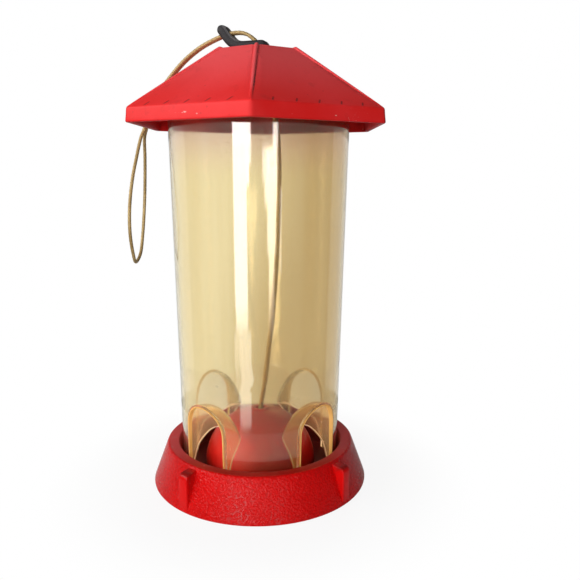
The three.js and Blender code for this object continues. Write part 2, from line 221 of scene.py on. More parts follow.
# The slack loop that hangs off the eave: out, across and up
LOOP = [
    (75.1, 3.6, 204.2), (75, 9.3, 192.7), (74.7, 14.6, 181.4), (73.7, 19.5, 170.3), (72.7, 22.9, 159.1),
    (72.9, 22.7, 147.8), (75.2, 16.9, 135.5), (78.1, 9.7, 129.3), (79.9, 1.5, 133.3), (81.9, -5.2, 144.9),
    (82.1, -7.8, 157), (81.4, -8.4, 169.1), (79.9, -7.1, 181.2), (78.2, -5.1, 193), (76.3, -2.4, 204.5),
]

# Steps round a full turn
TURN_STEPS = 192
SLOT_STEPS = 48


def clamp(value):
    return max(0.0, min(1.0, value))


def ease(value, low, high):
    """A smooth step from 0 at low to 1 at high."""
    t = clamp((value - low) / (high - low))
    return t * t * (3 - 2 * t)


def rounded(corners, steps=5):
    """A closed outline from corners of across, up and fillet radius."""
    points = []
    for i, (x, y, radius) in enumerate(corners):
        here = Vector((x, y))
        back = Vector(corners[i - 1][:2]) - here
        on = Vector(corners[(i + 1) % len(corners)][:2]) - here
        angle = back.angle(on)
        if radius == 0:
            points.append(here)
            continue
        reach = min(radius / math.tan(angle / 2), 0.45 * back.length, 0.45 * on.length)
        true_radius = reach * math.tan(angle / 2)
        middle = (back.normalized() + on.normalized()).normalized()
        centre = here + middle * (true_radius / math.sin(angle / 2))
        first = here + back.normalized() * reach - centre
        last = here + on.normalized() * reach - centre
        start = math.atan2(first.y, first.x)
        sweep = math.atan2(first.cross(last), first.dot(last))
        for k in range(steps + 1):
            turn = start + sweep * k / steps
            points.append(centre + Vector((math.cos(turn), math.sin(turn))) * true_radius)
    return points


def refined(points, longest):
    """The same closed outline with its long stretches divided."""
    finer = []
    for here, after in zip(points, points[1:] + points[:1]):
        parts = max(1, math.ceil((after - here).length / longest))
        finer.extend(here.lerp(after, k / parts) for k in range(parts))
    return finer


def grid_faces(rows, count, close_rows=False, close_columns=False):
    """Four-sided faces between rows of points that follow each other."""
    faces = []
    for row in range(rows if close_rows else rows - 1):
        upper = (row + 1) % rows
        for i in range(count if close_columns else count - 1):
            j = (i + 1) % count
            faces.append((row * count + i, row * count + j, upper * count + j, upper * count + i))
    return faces


def capped_faces(rows, count):
    """The faces of a solid made of rings that follow each other, closed at both ends."""
    ends = [tuple(range(count)), tuple(range((rows - 1) * count, rows * count))]
    return grid_faces(rows, count, close_columns=True) + ends


def slot_ring(radius, half):
    """Places round a slot with round ends, along it and across it."""
    ring = []
    for k in range(SLOT_STEPS):
        angle = 2 * math.pi * (k + 0.5) / SLOT_STEPS
        along = math.copysign(half, math.cos(angle)) + radius * math.cos(angle)
        ring.append((along, radius * math.sin(angle)))
    return ring


def new_object(name, data):
    made = bpy.data.objects.new(name, data)
    bpy.context.scene.collection.objects.link(made)
    return made


def mesh_piece(name, points, faces, marks=None, sharp=32):
    """A mesh object from points in millimetres, welded, facing outwards and smooth up to the sharp angle."""
    mesh = bpy.data.meshes.new(name)
    mesh.from_pydata([Vector(p) * MM for p in points], [], faces)
    for mark, values in (marks or {}).items():
        layer = mesh.attributes.new(mark, "FLOAT", "POINT")
        layer.data.foreach_set("value", values)
    build = bmesh.new()
    build.from_mesh(mesh)
    bmesh.ops.remove_doubles(build, verts=build.verts, dist=1e-6)
    bmesh.ops.dissolve_degenerate(build, edges=build.edges, dist=1e-6)
    bmesh.ops.recalc_face_normals(build, faces=build.faces)
    build.to_mesh(mesh)
    build.free()
    piece = new_object(name, mesh)
    smooth(piece, sharp)
    return piece


def smooth(piece, sharp):
    piece.data.shade_smooth()
    piece.data.set_sharp_from_angle(angle=math.radians(sharp))


def evaluated(piece):
    """The piece with its modifiers made part of its mesh."""
    graph = bpy.context.evaluated_depsgraph_get()
    mesh = bpy.data.meshes.new_from_object(piece.evaluated_get(graph))
    piece.modifiers.clear()
    piece.data = mesh
    mesh.name = piece.name
    return piece


def cut(piece, tool, operation, sharp):
    """Joins the tool to the piece or cuts it away, and removes the tool."""
    modifier = piece.modifiers.new("cut", "BOOLEAN")
    modifier.operation = operation
    modifier.solver = "EXACT"
    modifier.object = tool
    evaluated(piece)
    bpy.data.objects.remove(tool)
    smooth(piece, sharp)


def paint(piece, mark, value):
    """A number at each point of the mesh, worked out from its place in millimetres."""
    layer = piece.data.attributes.new(mark, "FLOAT", "POINT")
    layer.data.foreach_set("value", [value(v.co / MM) for v in piece.data.vertices])


def turned(name, outline, segments=TURN_STEPS):
    """A ring-shaped body of revolution about Z from a closed outline of radius and height."""
    points = []
    for i in range(segments):
        angle = 2 * math.pi * i / segments
        points.extend((p.x * math.cos(angle), p.x * math.sin(angle), p.y) for p in outline)
    return mesh_piece(name, points, grid_faces(segments, len(outline), True, True))


class Nodes:
    """Adds nodes to a tree, with their settings, values and links."""

    def __init__(self, tree):
        self.tree = tree

    def add(self, kind, values=None, **settings):
        node = self.tree.nodes.new(kind)
        for key, value in settings.items():
            setattr(node, key, value)
        for key, value in (values or {}).items():
            self.feed(node.inputs[key], value)
        return node

    def feed(self, socket, value):
        if isinstance(value, bpy.types.NodeSocket):
            self.tree.links.new(value, socket)
        else:
            socket.default_value = value

    def math(self, operation, *values):
        return self.add("ShaderNodeMath", dict(enumerate(values)), operation=operation).outputs[0]

    def times(self, first, second):
        return self.math("MULTIPLY", first, second)

    def vector(self, operation, *values):
        return self.add("ShaderNodeVectorMath", dict(enumerate(values)), operation=operation).outputs

    def span(self, value, low, high, to_low=0.0, to_high=1.0):
        """A value taken smoothly from one range to another."""
        values = {"Value": value, "From Min": low, "From Max": high, "To Min": to_low, "To Max": to_high}
        return self.add("ShaderNodeMapRange", values, interpolation_type="SMOOTHSTEP").outputs["Result"]

    def between(self, mask, low, high):
        """A value from low to high as a mask goes from 0 to 1."""
        return self.span(mask, 0.0, 1.0, low, high)

    def blend(self, factor, first, second, mode="MIX"):
        """Two colours mixed by a factor."""
        node = self.add("ShaderNodeMix", data_type="RGBA", blend_type=mode)
        self.feed(node.inputs[0], factor)
        self.feed(node.inputs[6], first)
        self.feed(node.inputs[7], second)
        return node.outputs[2]

    def tint(self, colour, other, mask, share, mode="MIX"):
        """A colour taken a share of the way to another where a mask says so."""
        return self.blend(self.times(mask, share), colour, other, mode)

    def noise(self, place, scale, detail=2.0, roughness=0.5):
        values = {"Vector": place, "Scale": scale, "Detail": detail, "Roughness": roughness}
        return self.add("ShaderNodeTexNoise", values).outputs["Fac"]

    def mark(self, name):
        """A number painted on the mesh."""
        return self.add("ShaderNodeAttribute", attribute_name=name).outputs["Fac"]

    def use(self, group, **values):
        """What a shader group puts out, with its own values put in."""
        return self.add("ShaderNodeGroup", values, node_tree=group).outputs


# Kinds of group socket
FLOAT = "NodeSocketFloat"
WHOLE = "NodeSocketInt"
VECTOR = "NodeSocketVector"
GEOMETRY = "NodeSocketGeometry"
MATERIAL = "NodeSocketMaterial"


def new_tree(name, kind, inputs, outputs):
    """A node group with its named sockets, its way in and its way out."""
    tree = bpy.data.node_groups.new(name, kind)
    for way, sockets in (("INPUT", inputs), ("OUTPUT", outputs)):
        for socket, socket_type in sockets:
            tree.interface.new_socket(socket, in_out=way, socket_type=socket_type)
    nodes = Nodes(tree)
    return nodes, nodes.add("NodeGroupInput").outputs, nodes.add("NodeGroupOutput").inputs


def end_tree(nodes, shape, finish, out):
    """Ends a geometry tree with a plain mesh in its finish."""
    whole = nodes.add("GeometryNodeRealizeInstances", {"Geometry": shape}).outputs["Geometry"]
    finished = nodes.add("GeometryNodeSetMaterial", {"Geometry": whole, "Material": finish})
    nodes.feed(out, finished.outputs["Geometry"])
    return nodes.tree


def run_tree(piece, tree, values):
    """Runs a geometry tree on a piece with the values of its named inputs and keeps the plain mesh."""
    modifier = piece.modifiers.new(tree.name, "NODES")
    modifier.node_group = tree
    for item in tree.interface.items_tree:
        if item.in_out == "INPUT" and item.name in values:
            modifier[item.identifier] = values[item.name]
    return evaluated(piece)


# Shader groups that several finishes share


def shader_group(name, outputs, *inputs):
    """A shader group that works from a place, a scale and other values, and puts out values."""
    given = [("Place", VECTOR), ("Scale", FLOAT), *((each, FLOAT) for each in inputs)]
    return new_tree(name, "ShaderNodeTree", given, [(each, FLOAT) for each in outputs])


def pebble_grain_group():
    """The rounded pebble texture of moulded plastic, as a height, and the pits between the pebbles."""
    nodes, given, out = shader_group("pebble_grain", ("Height", "Pit"))
    values = {"Vector": given["Place"], "Scale": given["Scale"], "Smoothness": 0.45}
    cells = nodes.add("ShaderNodeTexVoronoi", values, feature="SMOOTH_F1").outputs["Distance"]
    drift = nodes.noise(given["Place"], given["Scale"])
    nodes.feed(out["Height"], nodes.math("MULTIPLY_ADD", drift, 0.35, nodes.span(cells, 0.75, 0.1)))
    nodes.feed(out["Pit"], nodes.span(cells, 0.45, 0.8))
    return nodes.tree


def weather_group():
    """Slow fading, grime that gathers in patches and fine specks."""
    nodes, given, out = shader_group("weather", ("Fade", "Grime", "Speck"))
    place = given["Place"]
    nodes.feed(out["Fade"], nodes.span(nodes.noise(place, given["Scale"], 4.0), 0.32, 0.68))
    patches = nodes.noise(place, nodes.times(given["Scale"], 4.3), 6.0, 0.65)
    nodes.feed(out["Grime"], nodes.span(patches, 0.56, 0.74))
    values = {"Vector": place, "Scale": nodes.times(given["Scale"], 14.0)}
    dots = nodes.add("ShaderNodeTexVoronoi", values, feature="F1").outputs
    sizes = nodes.add("ShaderNodeSeparateColor", {"Color": dots["Color"]}).outputs[0]
    reach = nodes.span(sizes, 0.72, 1.0, 0.0, 0.16)
    nodes.feed(out["Speck"], nodes.math("LESS_THAN", dots["Distance"], reach))
    return nodes.tree


def scuff_group():
    """Short pale scratches where the plastic has rubbed on things."""
    nodes, given, out = shader_group("scuffs", ("Scuff",), "Amount")
    values = {"Vector": given["Place"], "Rotation": (0.4, 0.7, 0.5), "Scale": (1.0, 5.0, 2.2)}
    drawn = nodes.add("ShaderNodeMapping", values).outputs["Vector"]
    lines = nodes.noise(drawn, given["Scale"], 3.0, 0.7)
    patches = nodes.noise(given["Place"], nodes.times(given["Scale"], 0.21))
    marks = nodes.times(nodes.span(lines, 0.64, 0.72), nodes.span(patches, 0.54, 0.66))
    nodes.feed(out["Scuff"], nodes.times(marks, given["Amount"]))
    return nodes.tree


PEBBLE = pebble_grain_group()
WEATHER = weather_group()
SCUFFS = scuff_group()


# Finishes


class Finish(Nodes):
    """A material's nodes, with its shader's sockets and the place on the object."""

    def __init__(self, name, **plain):
        self.material = bpy.data.materials.new(name)
        self.material.use_nodes = True
        super().__init__(self.material.node_tree)
        self.sockets = self.tree.nodes["Principled BSDF"].inputs
        self.set(**plain)
        self.place = self.add("ShaderNodeTexCoord").outputs["Object"]

    def set(self, **values):
        """Gives sockets of the shader their values, with _ for a space in a socket's name."""
        for socket, value in values.items():
            self.feed(self.sockets[socket.replace("_", " ")], value)

    def relief(self, height, strength, depth):
        values = {"Height": height, "Strength": strength, "Distance": depth * MM}
        self.set(Normal=self.add("ShaderNodeBump", values).outputs["Normal"])

    def weather(self, scale):
        return self.use(WEATHER, Place=self.place, Scale=scale)

    def scuffs(self, scale, amount):
        return self.use(SCUFFS, Place=self.place, Scale=scale, Amount=amount)["Scuff"]

    def grain(self, scale, detail=2.0):
        return self.noise(self.place, scale, detail)

    def height(self):
        return self.add("ShaderNodeSeparateXYZ", {"Vector": self.place}).outputs["Z"]

    def off_axis(self):
        return self.vector("LENGTH", self.vector("MULTIPLY", self.place, (1, 1, 0))["Vector"])["Value"]

    def toward(self, degrees):
        """How far a place lies towards a bearing."""
        return self.vector("DOT_PRODUCT", self.place, tuple(bearing(degrees)))["Value"]


# Reds
RED = (0.76, 0.014, 0.013, 1)
FADED_RED = (0.80, 0.034, 0.036, 1)
# Pale red: a painted highlight on the hip beads, and the lighter red towards the roof's top
PALE_HIGHLIGHT_RED = (0.84, 0.115, 0.125, 1)
INNER_RED = (0.86, 0.016, 0.018, 1)
TRAY_RED = (0.57, 0.0015, 0.0015, 1)
FADED_TRAY = (0.64, 0.003, 0.003, 1)
DOME_RED = (0.95, 0.017, 0.011, 1)
FADED_DOME = (0.98, 0.034, 0.024, 1)

# Dirt, dust, wear and painted shade
# Grime, also used as painted shade in the roof's grooves and nicks and in the tray's pebble pits
GRIME_AND_SHADE = (0.085, 0.010, 0.008, 1)
RIM_DUST = (0.56, 0.140, 0.136, 1)
# Painted shade on the front of the rim and bowl
RIM_FRONT_SHADE = (0.045, 0.005, 0.004, 1)
# Painted shade low in the bowl
BOWL_SHADE = (0.05, 0.006, 0.005, 1)
# Painted shade on the fins' tops
FIN_TOP_SHADE = (0.12, 0.008, 0.006, 1)
# Painted shade towards the dome's foot
DOME_FOOT_SHADE = (0.06, 0.014, 0.011, 1)
DUST_SPECK = (0.42, 0.30, 0.16, 1)
RUBBED = (0.92, 0.74, 0.68, 1)

# Clear plastic, what tints it, its painted shade and its painted reflection of the roof
CLEAR = (0.985, 0.905, 0.675, 1)
# Deep tan of the painted shade
SHADED_TAN = (0.75, 0.63, 0.405, 1)
# Painted reflection of the red roof
ROOF_REFLECTION_TINT = (0.945, 0.88, 1.0, 1)
STREAKED = (0.93, 0.86, 0.68, 1)

# Hoods
HOOD = (0.97, 0.81, 0.54, 1)
SHADED_HOOD_TAN = (0.84, 0.64, 0.38, 1)
FADED_HOOD = (0.97, 0.86, 0.62, 1)
GRIMY_HOOD = (0.80, 0.55, 0.30, 1)
FAR_HOOD = (0.99, 0.93, 0.79, 1)
LIP_HIGHLIGHT = (1.0, 0.90, 0.82, 1)
NO_GLOW = (0, 0, 0, 1)
HOOD_GLOW = (0.070, 0.034, 0.012, 1)
LIP_GLOW = (0.26, 0.15, 0.11, 1)

# Cut edges
AMBER = (0.66, 0.38, 0.11, 1)
PALE_AMBER = (0.76, 0.46, 0.16, 1)
AMBER_CORE = (0.50, 0.25, 0.07, 1)
AMBER_GLOW = (0.16, 0.078, 0.018, 1)
PALE_GLOW = (0.22, 0.112, 0.028, 1)
FAR_GLOW = (0.40, 0.295, 0.14, 1)
CORE_GLOW = (0.12, 0.050, 0.010, 1)

# Keeper, cable and plating
BLACK = (0.022, 0.020, 0.022, 1)
FADED_BLACK = (0.040, 0.037, 0.039, 1)
# Painted highlight on the keeper's raised inner face
LIT_FACE_GREY = (0.235, 0.225, 0.23, 1)
SCUFFED_BLACK = (0.20, 0.19, 0.19, 1)
BROWN_WIRE = (0.42, 0.285, 0.115, 1)
GOLDEN_WIRE = (0.52, 0.375, 0.165, 1)
RUSTY_WIRE = (0.20, 0.11, 0.06, 1)
COVERED_WIRE = (0.86, 0.62, 0.27, 1)
WIRE_GAP_DIRT_AND_SHADE = (0.14, 0.085, 0.035, 1)
ZINC = (0.42, 0.43, 0.44, 1)
BRIGHT_ZINC = (0.58, 0.59, 0.60, 1)
DULL_ZINC = (0.24, 0.22, 0.19, 1)


def roof_finish():
    """Red plastic, lighter towards the top, with a painted highlight on the hip beads, a fine grain, a row of
    small nicks over the eave darkened with painted shade, painted shade beside the beads and rubbed spots on
    the fascia."""
    finish = Finish("faded_red_roof", Specular_IOR_Level=0.18)
    weather = finish.weather(22.0)
    rise = finish.mark("rise")
    eave = finish.mark("eave")
    nick, nick_rim = eave_nicks(finish)
    higher = finish.span(rise, 2.0, 52.0, 0.0, 0.55)
    # Painted highlight on the bead crests, and lighter red towards the top
    pale_and_highlight = finish.math("MAXIMUM", higher, finish.times(finish.mark("bead"), 0.7))
    ragged = finish.span(finish.grain(640.0), 0.36, 0.56, 0.25, 1.0)
    colour = finish.blend(weather["Fade"], RED, FADED_RED)
    colour = finish.blend(pale_and_highlight, colour, PALE_HIGHLIGHT_RED)
    colour = finish.tint(colour, INNER_RED, finish.mark("underside"), 0.85)
    colour = finish.tint(colour, GRIME_AND_SHADE, weather["Grime"], 0.14)
    colour = finish.tint(colour, GRIME_AND_SHADE, weather["Speck"], 0.22)
    # Painted shade in the grooves beside the beads
    colour = finish.tint(colour, GRIME_AND_SHADE, finish.mark("groove"), ragged)
    # Painted shade: the nicks are darkened
    colour = finish.tint(colour, GRIME_AND_SHADE, nick, 0.7)
    flat = finish.add("ShaderNodeCombineXYZ", {"X": finish.mark("across"), "Y": rise}).outputs["Vector"]
    chips = finish.use(WEATHER, Place=flat, Scale=0.017)["Speck"]
    chips = finish.times(chips, finish.span(eave, 0.3, 0.6))
    rubbed = finish.math("MAXIMUM", finish.scuffs(300.0, eave), chips)
    finish.set(Base_Color=finish.blend(rubbed, colour, RUBBED),
               Roughness=finish.between(weather["Fade"], 0.42, 0.54))
    dimples = finish.span(finish.grain(170.0), 0.36, 0.5)
    relief = finish.math("MULTIPLY_ADD", dimples, 0.8, finish.grain(900.0, 3.0))
    relief = finish.math("MULTIPLY_ADD", nick_rim, 1.2, relief)
    finish.relief(finish.math("MULTIPLY_ADD", nick, -3.0, relief), 0.2, 0.14)
    return finish.material


def eave_nicks(finish):
    """Short slanted nicks pressed in a row into each slope over the eave, and the raised side of each one."""
    rise = finish.mark("rise")
    slanted = finish.math("MULTIPLY_ADD", rise, -NICK_SLANT, finish.mark("across"))
    shifted = finish.math("ADD", slanted, NICK_MIDDLE * NICK_SLANT + NICK_START)
    near = finish.math("SUBTRACT", finish.math("MODULO", shifted, NICK_PITCH), NICK_PITCH / 2)
    off_row = finish.math("ABSOLUTE", finish.math("SUBTRACT", rise, NICK_MIDDLE))
    outside = finish.span(finish.mark("underside"), 0.1, 0.6, 1.0, 0.0)
    row = finish.times(finish.span(off_row, 1.9, 1.0), outside)
    nick = finish.span(finish.math("ABSOLUTE", near), NICK_HALF, 0.25)
    beside = finish.math("ABSOLUTE", finish.math("SUBTRACT", near, NICK_HALF))
    return finish.times(nick, row), finish.times(finish.span(beside, 0.5, 0.1), row)


def tray_finish():
    """Glossy red plastic, finely pebbled on the skirt, smoother and dusty on the rim and in the bowl, with
    painted shade on the front of the rim, lower in the bowl, in the pits of the grain and on the fins' tops.
    """
    finish = Finish("pebbled_red_tray", Specular_IOR_Level=0.13)
    weather = finish.weather(26.0)
    pebbles = finish.use(PEBBLE, Place=finish.place, Scale=880.0)
    skirt = finish.span(finish.off_axis(), (RIM_OUTER - 1.6) * MM, (RIM_OUTER - 0.2) * MM)
    inside = finish.math("SUBTRACT", 1.0, skirt)
    grained = finish.times(skirt, finish.span(finish.mark("fin"), 0.0, 0.6, 1.0, 0.1))
    dust_and_shade = finish.times(inside, finish.span(weather["Grime"], -0.2, 1.0, 0.4, 0.8))
    front_shade = finish.span(finish.toward(PAINTED_LIGHT_BEARING), 20 * MM, 48 * MM)
    low = finish.times(inside, finish.span(finish.height(), (TRAY_HEIGHT - 2) * MM, (FLOOR + 4) * MM))
    colour = finish.blend(weather["Fade"], TRAY_RED, FADED_TRAY)
    # Dust inside the tray, with painted shade in its place towards the front
    colour = finish.blend(dust_and_shade, colour, finish.blend(front_shade, RIM_DUST, RIM_FRONT_SHADE))
    # Painted shade lower down in the bowl
    colour = finish.tint(colour, BOWL_SHADE, low, 0.8)
    # Painted shade in the pits between the pebbles
    colour = finish.tint(colour, GRIME_AND_SHADE, finish.times(pebbles["Pit"], grained), 0.2)
    # Painted shade on the fins' tops
    colour = finish.tint(colour, FIN_TOP_SHADE, finish.mark("fin_top_shade"), 0.7)
    rough = finish.math("MULTIPLY_ADD", skirt, 0.23 - 0.45, 0.45)
    finish.set(Base_Color=finish.blend(finish.scuffs(300.0, 0.25), colour, RUBBED),
               Roughness=finish.math("MULTIPLY_ADD", weather["Grime"], 0.12, rough))
    finish.relief(finish.times(pebbles["Height"], finish.between(grained, 0.12, 1.0)), 0.7, 0.24)
    return finish.material


def dome_finish():
    """Dusty red plastic with dark scratches from seed, and painted shade towards its foot."""
    finish = Finish("dusty_red_dome", Specular_IOR_Level=0.3)
    weather = finish.weather(34.0)
    colour = finish.blend(weather["Fade"], DOME_RED, FADED_DOME)
    # Painted shade towards the foot of the dome
    colour = finish.tint(colour, DOME_FOOT_SHADE, finish.span(finish.height(), 16 * MM, 8 * MM), 0.75)
    finish.set(Base_Color=finish.blend(finish.scuffs(210.0, 0.8), colour, GRIME_AND_SHADE),
               Roughness=finish.between(weather["Grime"], 0.36, 0.55))
    finish.relief(finish.grain(700.0), 0.12, 0.1)
    return finish.material


def tan_shade(finish):
    """How deep the painted shade of tan on the clear plastic is: more on the side away from the light, and
    more lower down.
    """
    lower = finish.span(finish.height(), 180 * MM, 70 * MM, 0.0, 18 * MM)
    return finish.span(finish.math("ADD", finish.toward(TAN_SHADE_BEARING), lower), -20 * MM, 38 * MM)


def clear_finish():
    """Clear plastic gone yellow, with painted shade in a deeper tan, faint upright streaks, haze and dust,
    and a painted reflection of the red roof near the top.
    """
    finish = Finish("yellowed_clear_plastic", Transmission_Weight=0.975, IOR=1.58)
    weather = finish.weather(20.0)
    upright = finish.vector("MULTIPLY", finish.place, (1.0, 1.0, 0.04))["Vector"]
    streak = finish.span(finish.noise(upright, 95.0, 3.0), 0.35, 0.65)
    # Painted shade: deeper tan on the side away from the light and lower down
    colour = finish.blend(tan_shade(finish), CLEAR, SHADED_TAN)
    # Painted reflection of the red roof near the top of the tube
    colour = finish.blend(finish.span(finish.height(), 178 * MM, 212 * MM), colour, ROOF_REFLECTION_TINT, "MULTIPLY")
    colour = finish.tint(colour, STREAKED, streak, 0.3, "MULTIPLY")
    haze = finish.between(weather["Grime"], 0.05, 0.13)
    finish.set(Base_Color=finish.tint(colour, DUST_SPECK, weather["Speck"], 0.45),
               Roughness=finish.math("MULTIPLY_ADD", streak, 0.03, haze))
    finish.relief(finish.noise(upright, 26.0, 1.0), 0.12, 0.6)
    return finish.material


def hood_finish():
    """The hoods behind the ports: the same plastic, hazy, with a painted glow on the side towards the camera,
    a deeper tan of painted shade on the side away from the light, paler on the far side, and a painted
    highlight and glow along the lip."""
    finish = Finish("hazy_tan_hood", Transmission_Weight=0.84, IOR=1.22, Emission_Strength=1.0)
    weather = finish.weather(60.0)
    front = finish.toward(PAINTED_LIGHT_BEARING)
    lip = finish.span(finish.mark("edge"), 0.04, 0.2)
    # Painted shade: deeper tan on the side away from the light
    colour = finish.blend(tan_shade(finish), HOOD, SHADED_HOOD_TAN)
    colour = finish.tint(colour, FADED_HOOD, weather["Fade"], 0.3)
    colour = finish.tint(colour, GRIMY_HOOD, weather["Grime"], 0.3)
    colour = finish.blend(finish.span(front, 5 * MM, -12 * MM, 0.0, 0.75), colour, FAR_HOOD)
    # Painted glow on the side towards the camera
    glow = finish.blend(finish.span(front, 5 * MM, 22 * MM), NO_GLOW, HOOD_GLOW)
    haze = finish.between(weather["Grime"], 0.18, 0.30)
    # Painted highlight and glow along the lip
    finish.set(Base_Color=finish.blend(lip, colour, LIP_HIGHLIGHT),
               Emission_Color=finish.blend(lip, glow, LIP_GLOW),
               Roughness=finish.math("MULTIPLY_ADD", lip, 0.4, haze))
    finish.relief(finish.grain(500.0), 0.1, 0.1)
    return finish.material


def cut_edge_finish():
    """The ports' cut edges, amber, with a painted glow for the light carried along the yellowed wall, paler
    and stronger on the far side.
    """
    finish = Finish("amber_cut_edge", Transmission_Weight=0.08, IOR=1.49, Specular_IOR_Level=0.04,
                    Emission_Strength=1.0)
    weather = finish.weather(80.0)
    core = finish.span(finish.mark("edge"), 0.985, 1.0)
    far = finish.span(finish.toward(PAINTED_LIGHT_BEARING), 8 * MM, -12 * MM)
    colour = finish.blend(weather["Fade"], AMBER, PALE_AMBER)
    # Painted glow, paler and stronger on the far side
    glow = finish.blend(far, finish.blend(weather["Fade"], AMBER_GLOW, PALE_GLOW), FAR_GLOW)
    finish.set(Base_Color=finish.tint(colour, AMBER_CORE, core, 0.35),
               Emission_Color=finish.tint(glow, CORE_GLOW, core, 0.5),
               Roughness=finish.between(weather["Grime"], 0.22, 0.4))
    return finish.material


def keeper_finish():
    """Matt black plastic, faded by weather and scuffed, with a painted highlight greying the raised end's
    inner face.
    """
    finish = Finish("matt_black_keeper", Specular_IOR_Level=0.22)
    weather = finish.weather(120.0)
    colour = finish.blend(weather["Fade"], BLACK, FADED_BLACK)
    highlight_strength = finish.between(weather["Fade"], 0.65, 1.0)
    # Painted highlight on the raised end's inner face
    colour = finish.tint(colour, LIT_FACE_GREY, finish.mark("upper"), highlight_strength)
    finish.set(Base_Color=finish.blend(finish.scuffs(420.0, 0.5), colour, SCUFFED_BLACK),
               Roughness=finish.between(weather["Fade"], 0.50, 0.66))
    finish.relief(finish.grain(1500.0), 0.25, 0.1)
    return finish.material


def cable_finish():
    """Galvanised wire gone golden brown, brighter under cover, and darker between the wires with dirt and
    painted shade.
    """
    finish = Finish("golden_brown_cable", Specular_IOR_Level=0.3)
    weather = finish.weather(90.0)
    within = finish.span(finish.off_axis(), 48 * MM, 42 * MM)
    under = finish.span(finish.height(), 240 * MM, 215 * MM)
    gap = finish.span(finish.mark("gap"), 0.3, 1.0)
    colour = finish.blend(weather["Fade"], BROWN_WIRE, GOLDEN_WIRE)
    colour = finish.tint(colour, RUSTY_WIRE, weather["Grime"], 0.5)
    colour = finish.tint(colour, COVERED_WIRE, within, under)
    # Dirt and painted shade between the wires
    finish.set(Base_Color=finish.tint(colour, WIRE_GAP_DIRT_AND_SHADE, gap, 0.65),
               Metallic=finish.between(weather["Grime"], 0.25, 0.1),
               Roughness=finish.between(weather["Grime"], 0.42, 0.6))
    return finish.material


def zinc_finish():
    """Dull plated metal."""
    finish = Finish("dull_zinc", Metallic=0.9)
    weather = finish.weather(160.0)
    colour = finish.blend(weather["Fade"], ZINC, BRIGHT_ZINC)
    finish.set(Base_Color=finish.blend(weather["Grime"], colour, DULL_ZINC),
               Roughness=finish.between(weather["Grime"], 0.36, 0.58))
    return finish.material


def settle(piece, finish, body, slot, *nodes):
    """Gives a finished piece its material or materials, its body and the solids it stands for; the slot goes
    unused.
    """
    piece.data.materials.clear()
    for each in finish if isinstance(finish, tuple) else (finish,):
        piece.data.materials.append(each)
    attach(piece, body)
    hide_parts(*nodes)


# Camera


def placing(place, across, up, back):
    """Where a thing goes, from its place in millimetres and the directions of its own three axes."""
    return Matrix.Translation(place * MM) @ Matrix((across, up, back)).transposed().to_4x4()


def add_camera():
    toward = bearing(CAMERA_BEARING)
    right = bearing(CAMERA_BEARING + 90)
    yaw, tilt, roll = (math.radians(turn) for turn in (CAMERA_YAW, CAMERA_TILT, CAMERA_ROLL))
    level = right * math.sin(yaw) - toward * math.cos(yaw)
    forward = level * math.cos(tilt) - UP * math.sin(tilt)
    across = level.cross(UP)
    up = across.cross(forward)
    rolled_across = across * math.cos(roll) + up * math.sin(roll)
    rolled_up = up * math.cos(roll) - across * math.sin(roll)
    place = toward * CAMERA_REACH + UP * CAMERA_HEIGHT
    data = bpy.data.cameras.new("camera")
    data.lens = CAMERA_LENS
    camera = new_object("camera", data)
    camera.matrix_world = placing(place, rolled_across, rolled_up, -forward)
    bpy.context.scene.camera = camera


# Cable


def cable_route():
    """The whole cable's middle line: up one strand, round the loop and down the other."""
    half = STRAND_PITCH / 2
    near = [Vector((out, half, up)) for out, up in RISE]
    far = [Vector((out, -half, up)) for out, up in reversed(RISE)]
    points = near + [Vector(p) for p in LOOP] + far
    turn = Matrix.Rotation(math.radians(CABLE_TURN), 3, "Z")
    return [turn @ p for p in smooth_curve(points)]


def smooth_curve(points, steps=40):
    """A centripetal curve through the points."""
    ends = [2 * points[0] - points[1], *points, 2 * points[-1] - points[-2]]
    curve = []
    for a, b, c, d in zip(ends, ends[1:], ends[2:], ends[3:]):
        knots = [0.0]
        for here, after in ((a, b), (b, c), (c, d)):
            knots.append(knots[-1] + math.sqrt((after - here).length))
        curve.extend(curve_point((a, b, c, d), knots, k / steps) for k in range(steps))
    return curve + [points[-1]]


def knot_mix(first, last, start, end, t):
    """The place between two others that belongs to t, which runs from start to end."""
    return (first * (end - t) + last * (t - start)) / (end - start)


def curve_point(points, knots, share):
    """The place on one stretch of the curve, between its second and third points."""
    t = knots[1] + (knots[2] - knots[1]) * share
    level = list(points)
    for width in (1, 2):
        pairs = zip(level, level[1:], knots, knots[width:])
        level = [knot_mix(first, last, start, end, t) for first, last, start, end in pairs]
    return knot_mix(*level, knots[1], knots[2], t)


def lengths_along(route):
    """How far along a route each of its points lies."""
    lengths = [0.0]
    for here, after in zip(route, route[1:]):
        lengths.append(lengths[-1] + (after - here).length)
    return lengths


def even_points(route, start, end, step):
    """Evenly spaced points on a route between two lengths along it."""
    lengths = lengths_along(route)
    count = math.ceil((end - start) / step)
    points = []
    k = 0
    for i in range(count + 1):
        wanted = start + (end - start) * i / count
        while lengths[k + 1] < wanted and k < len(route) - 2:
            k += 1
        share = (wanted - lengths[k]) / (lengths[k + 1] - lengths[k])
        points.append(route[k].lerp(route[k + 1], share))
    return points


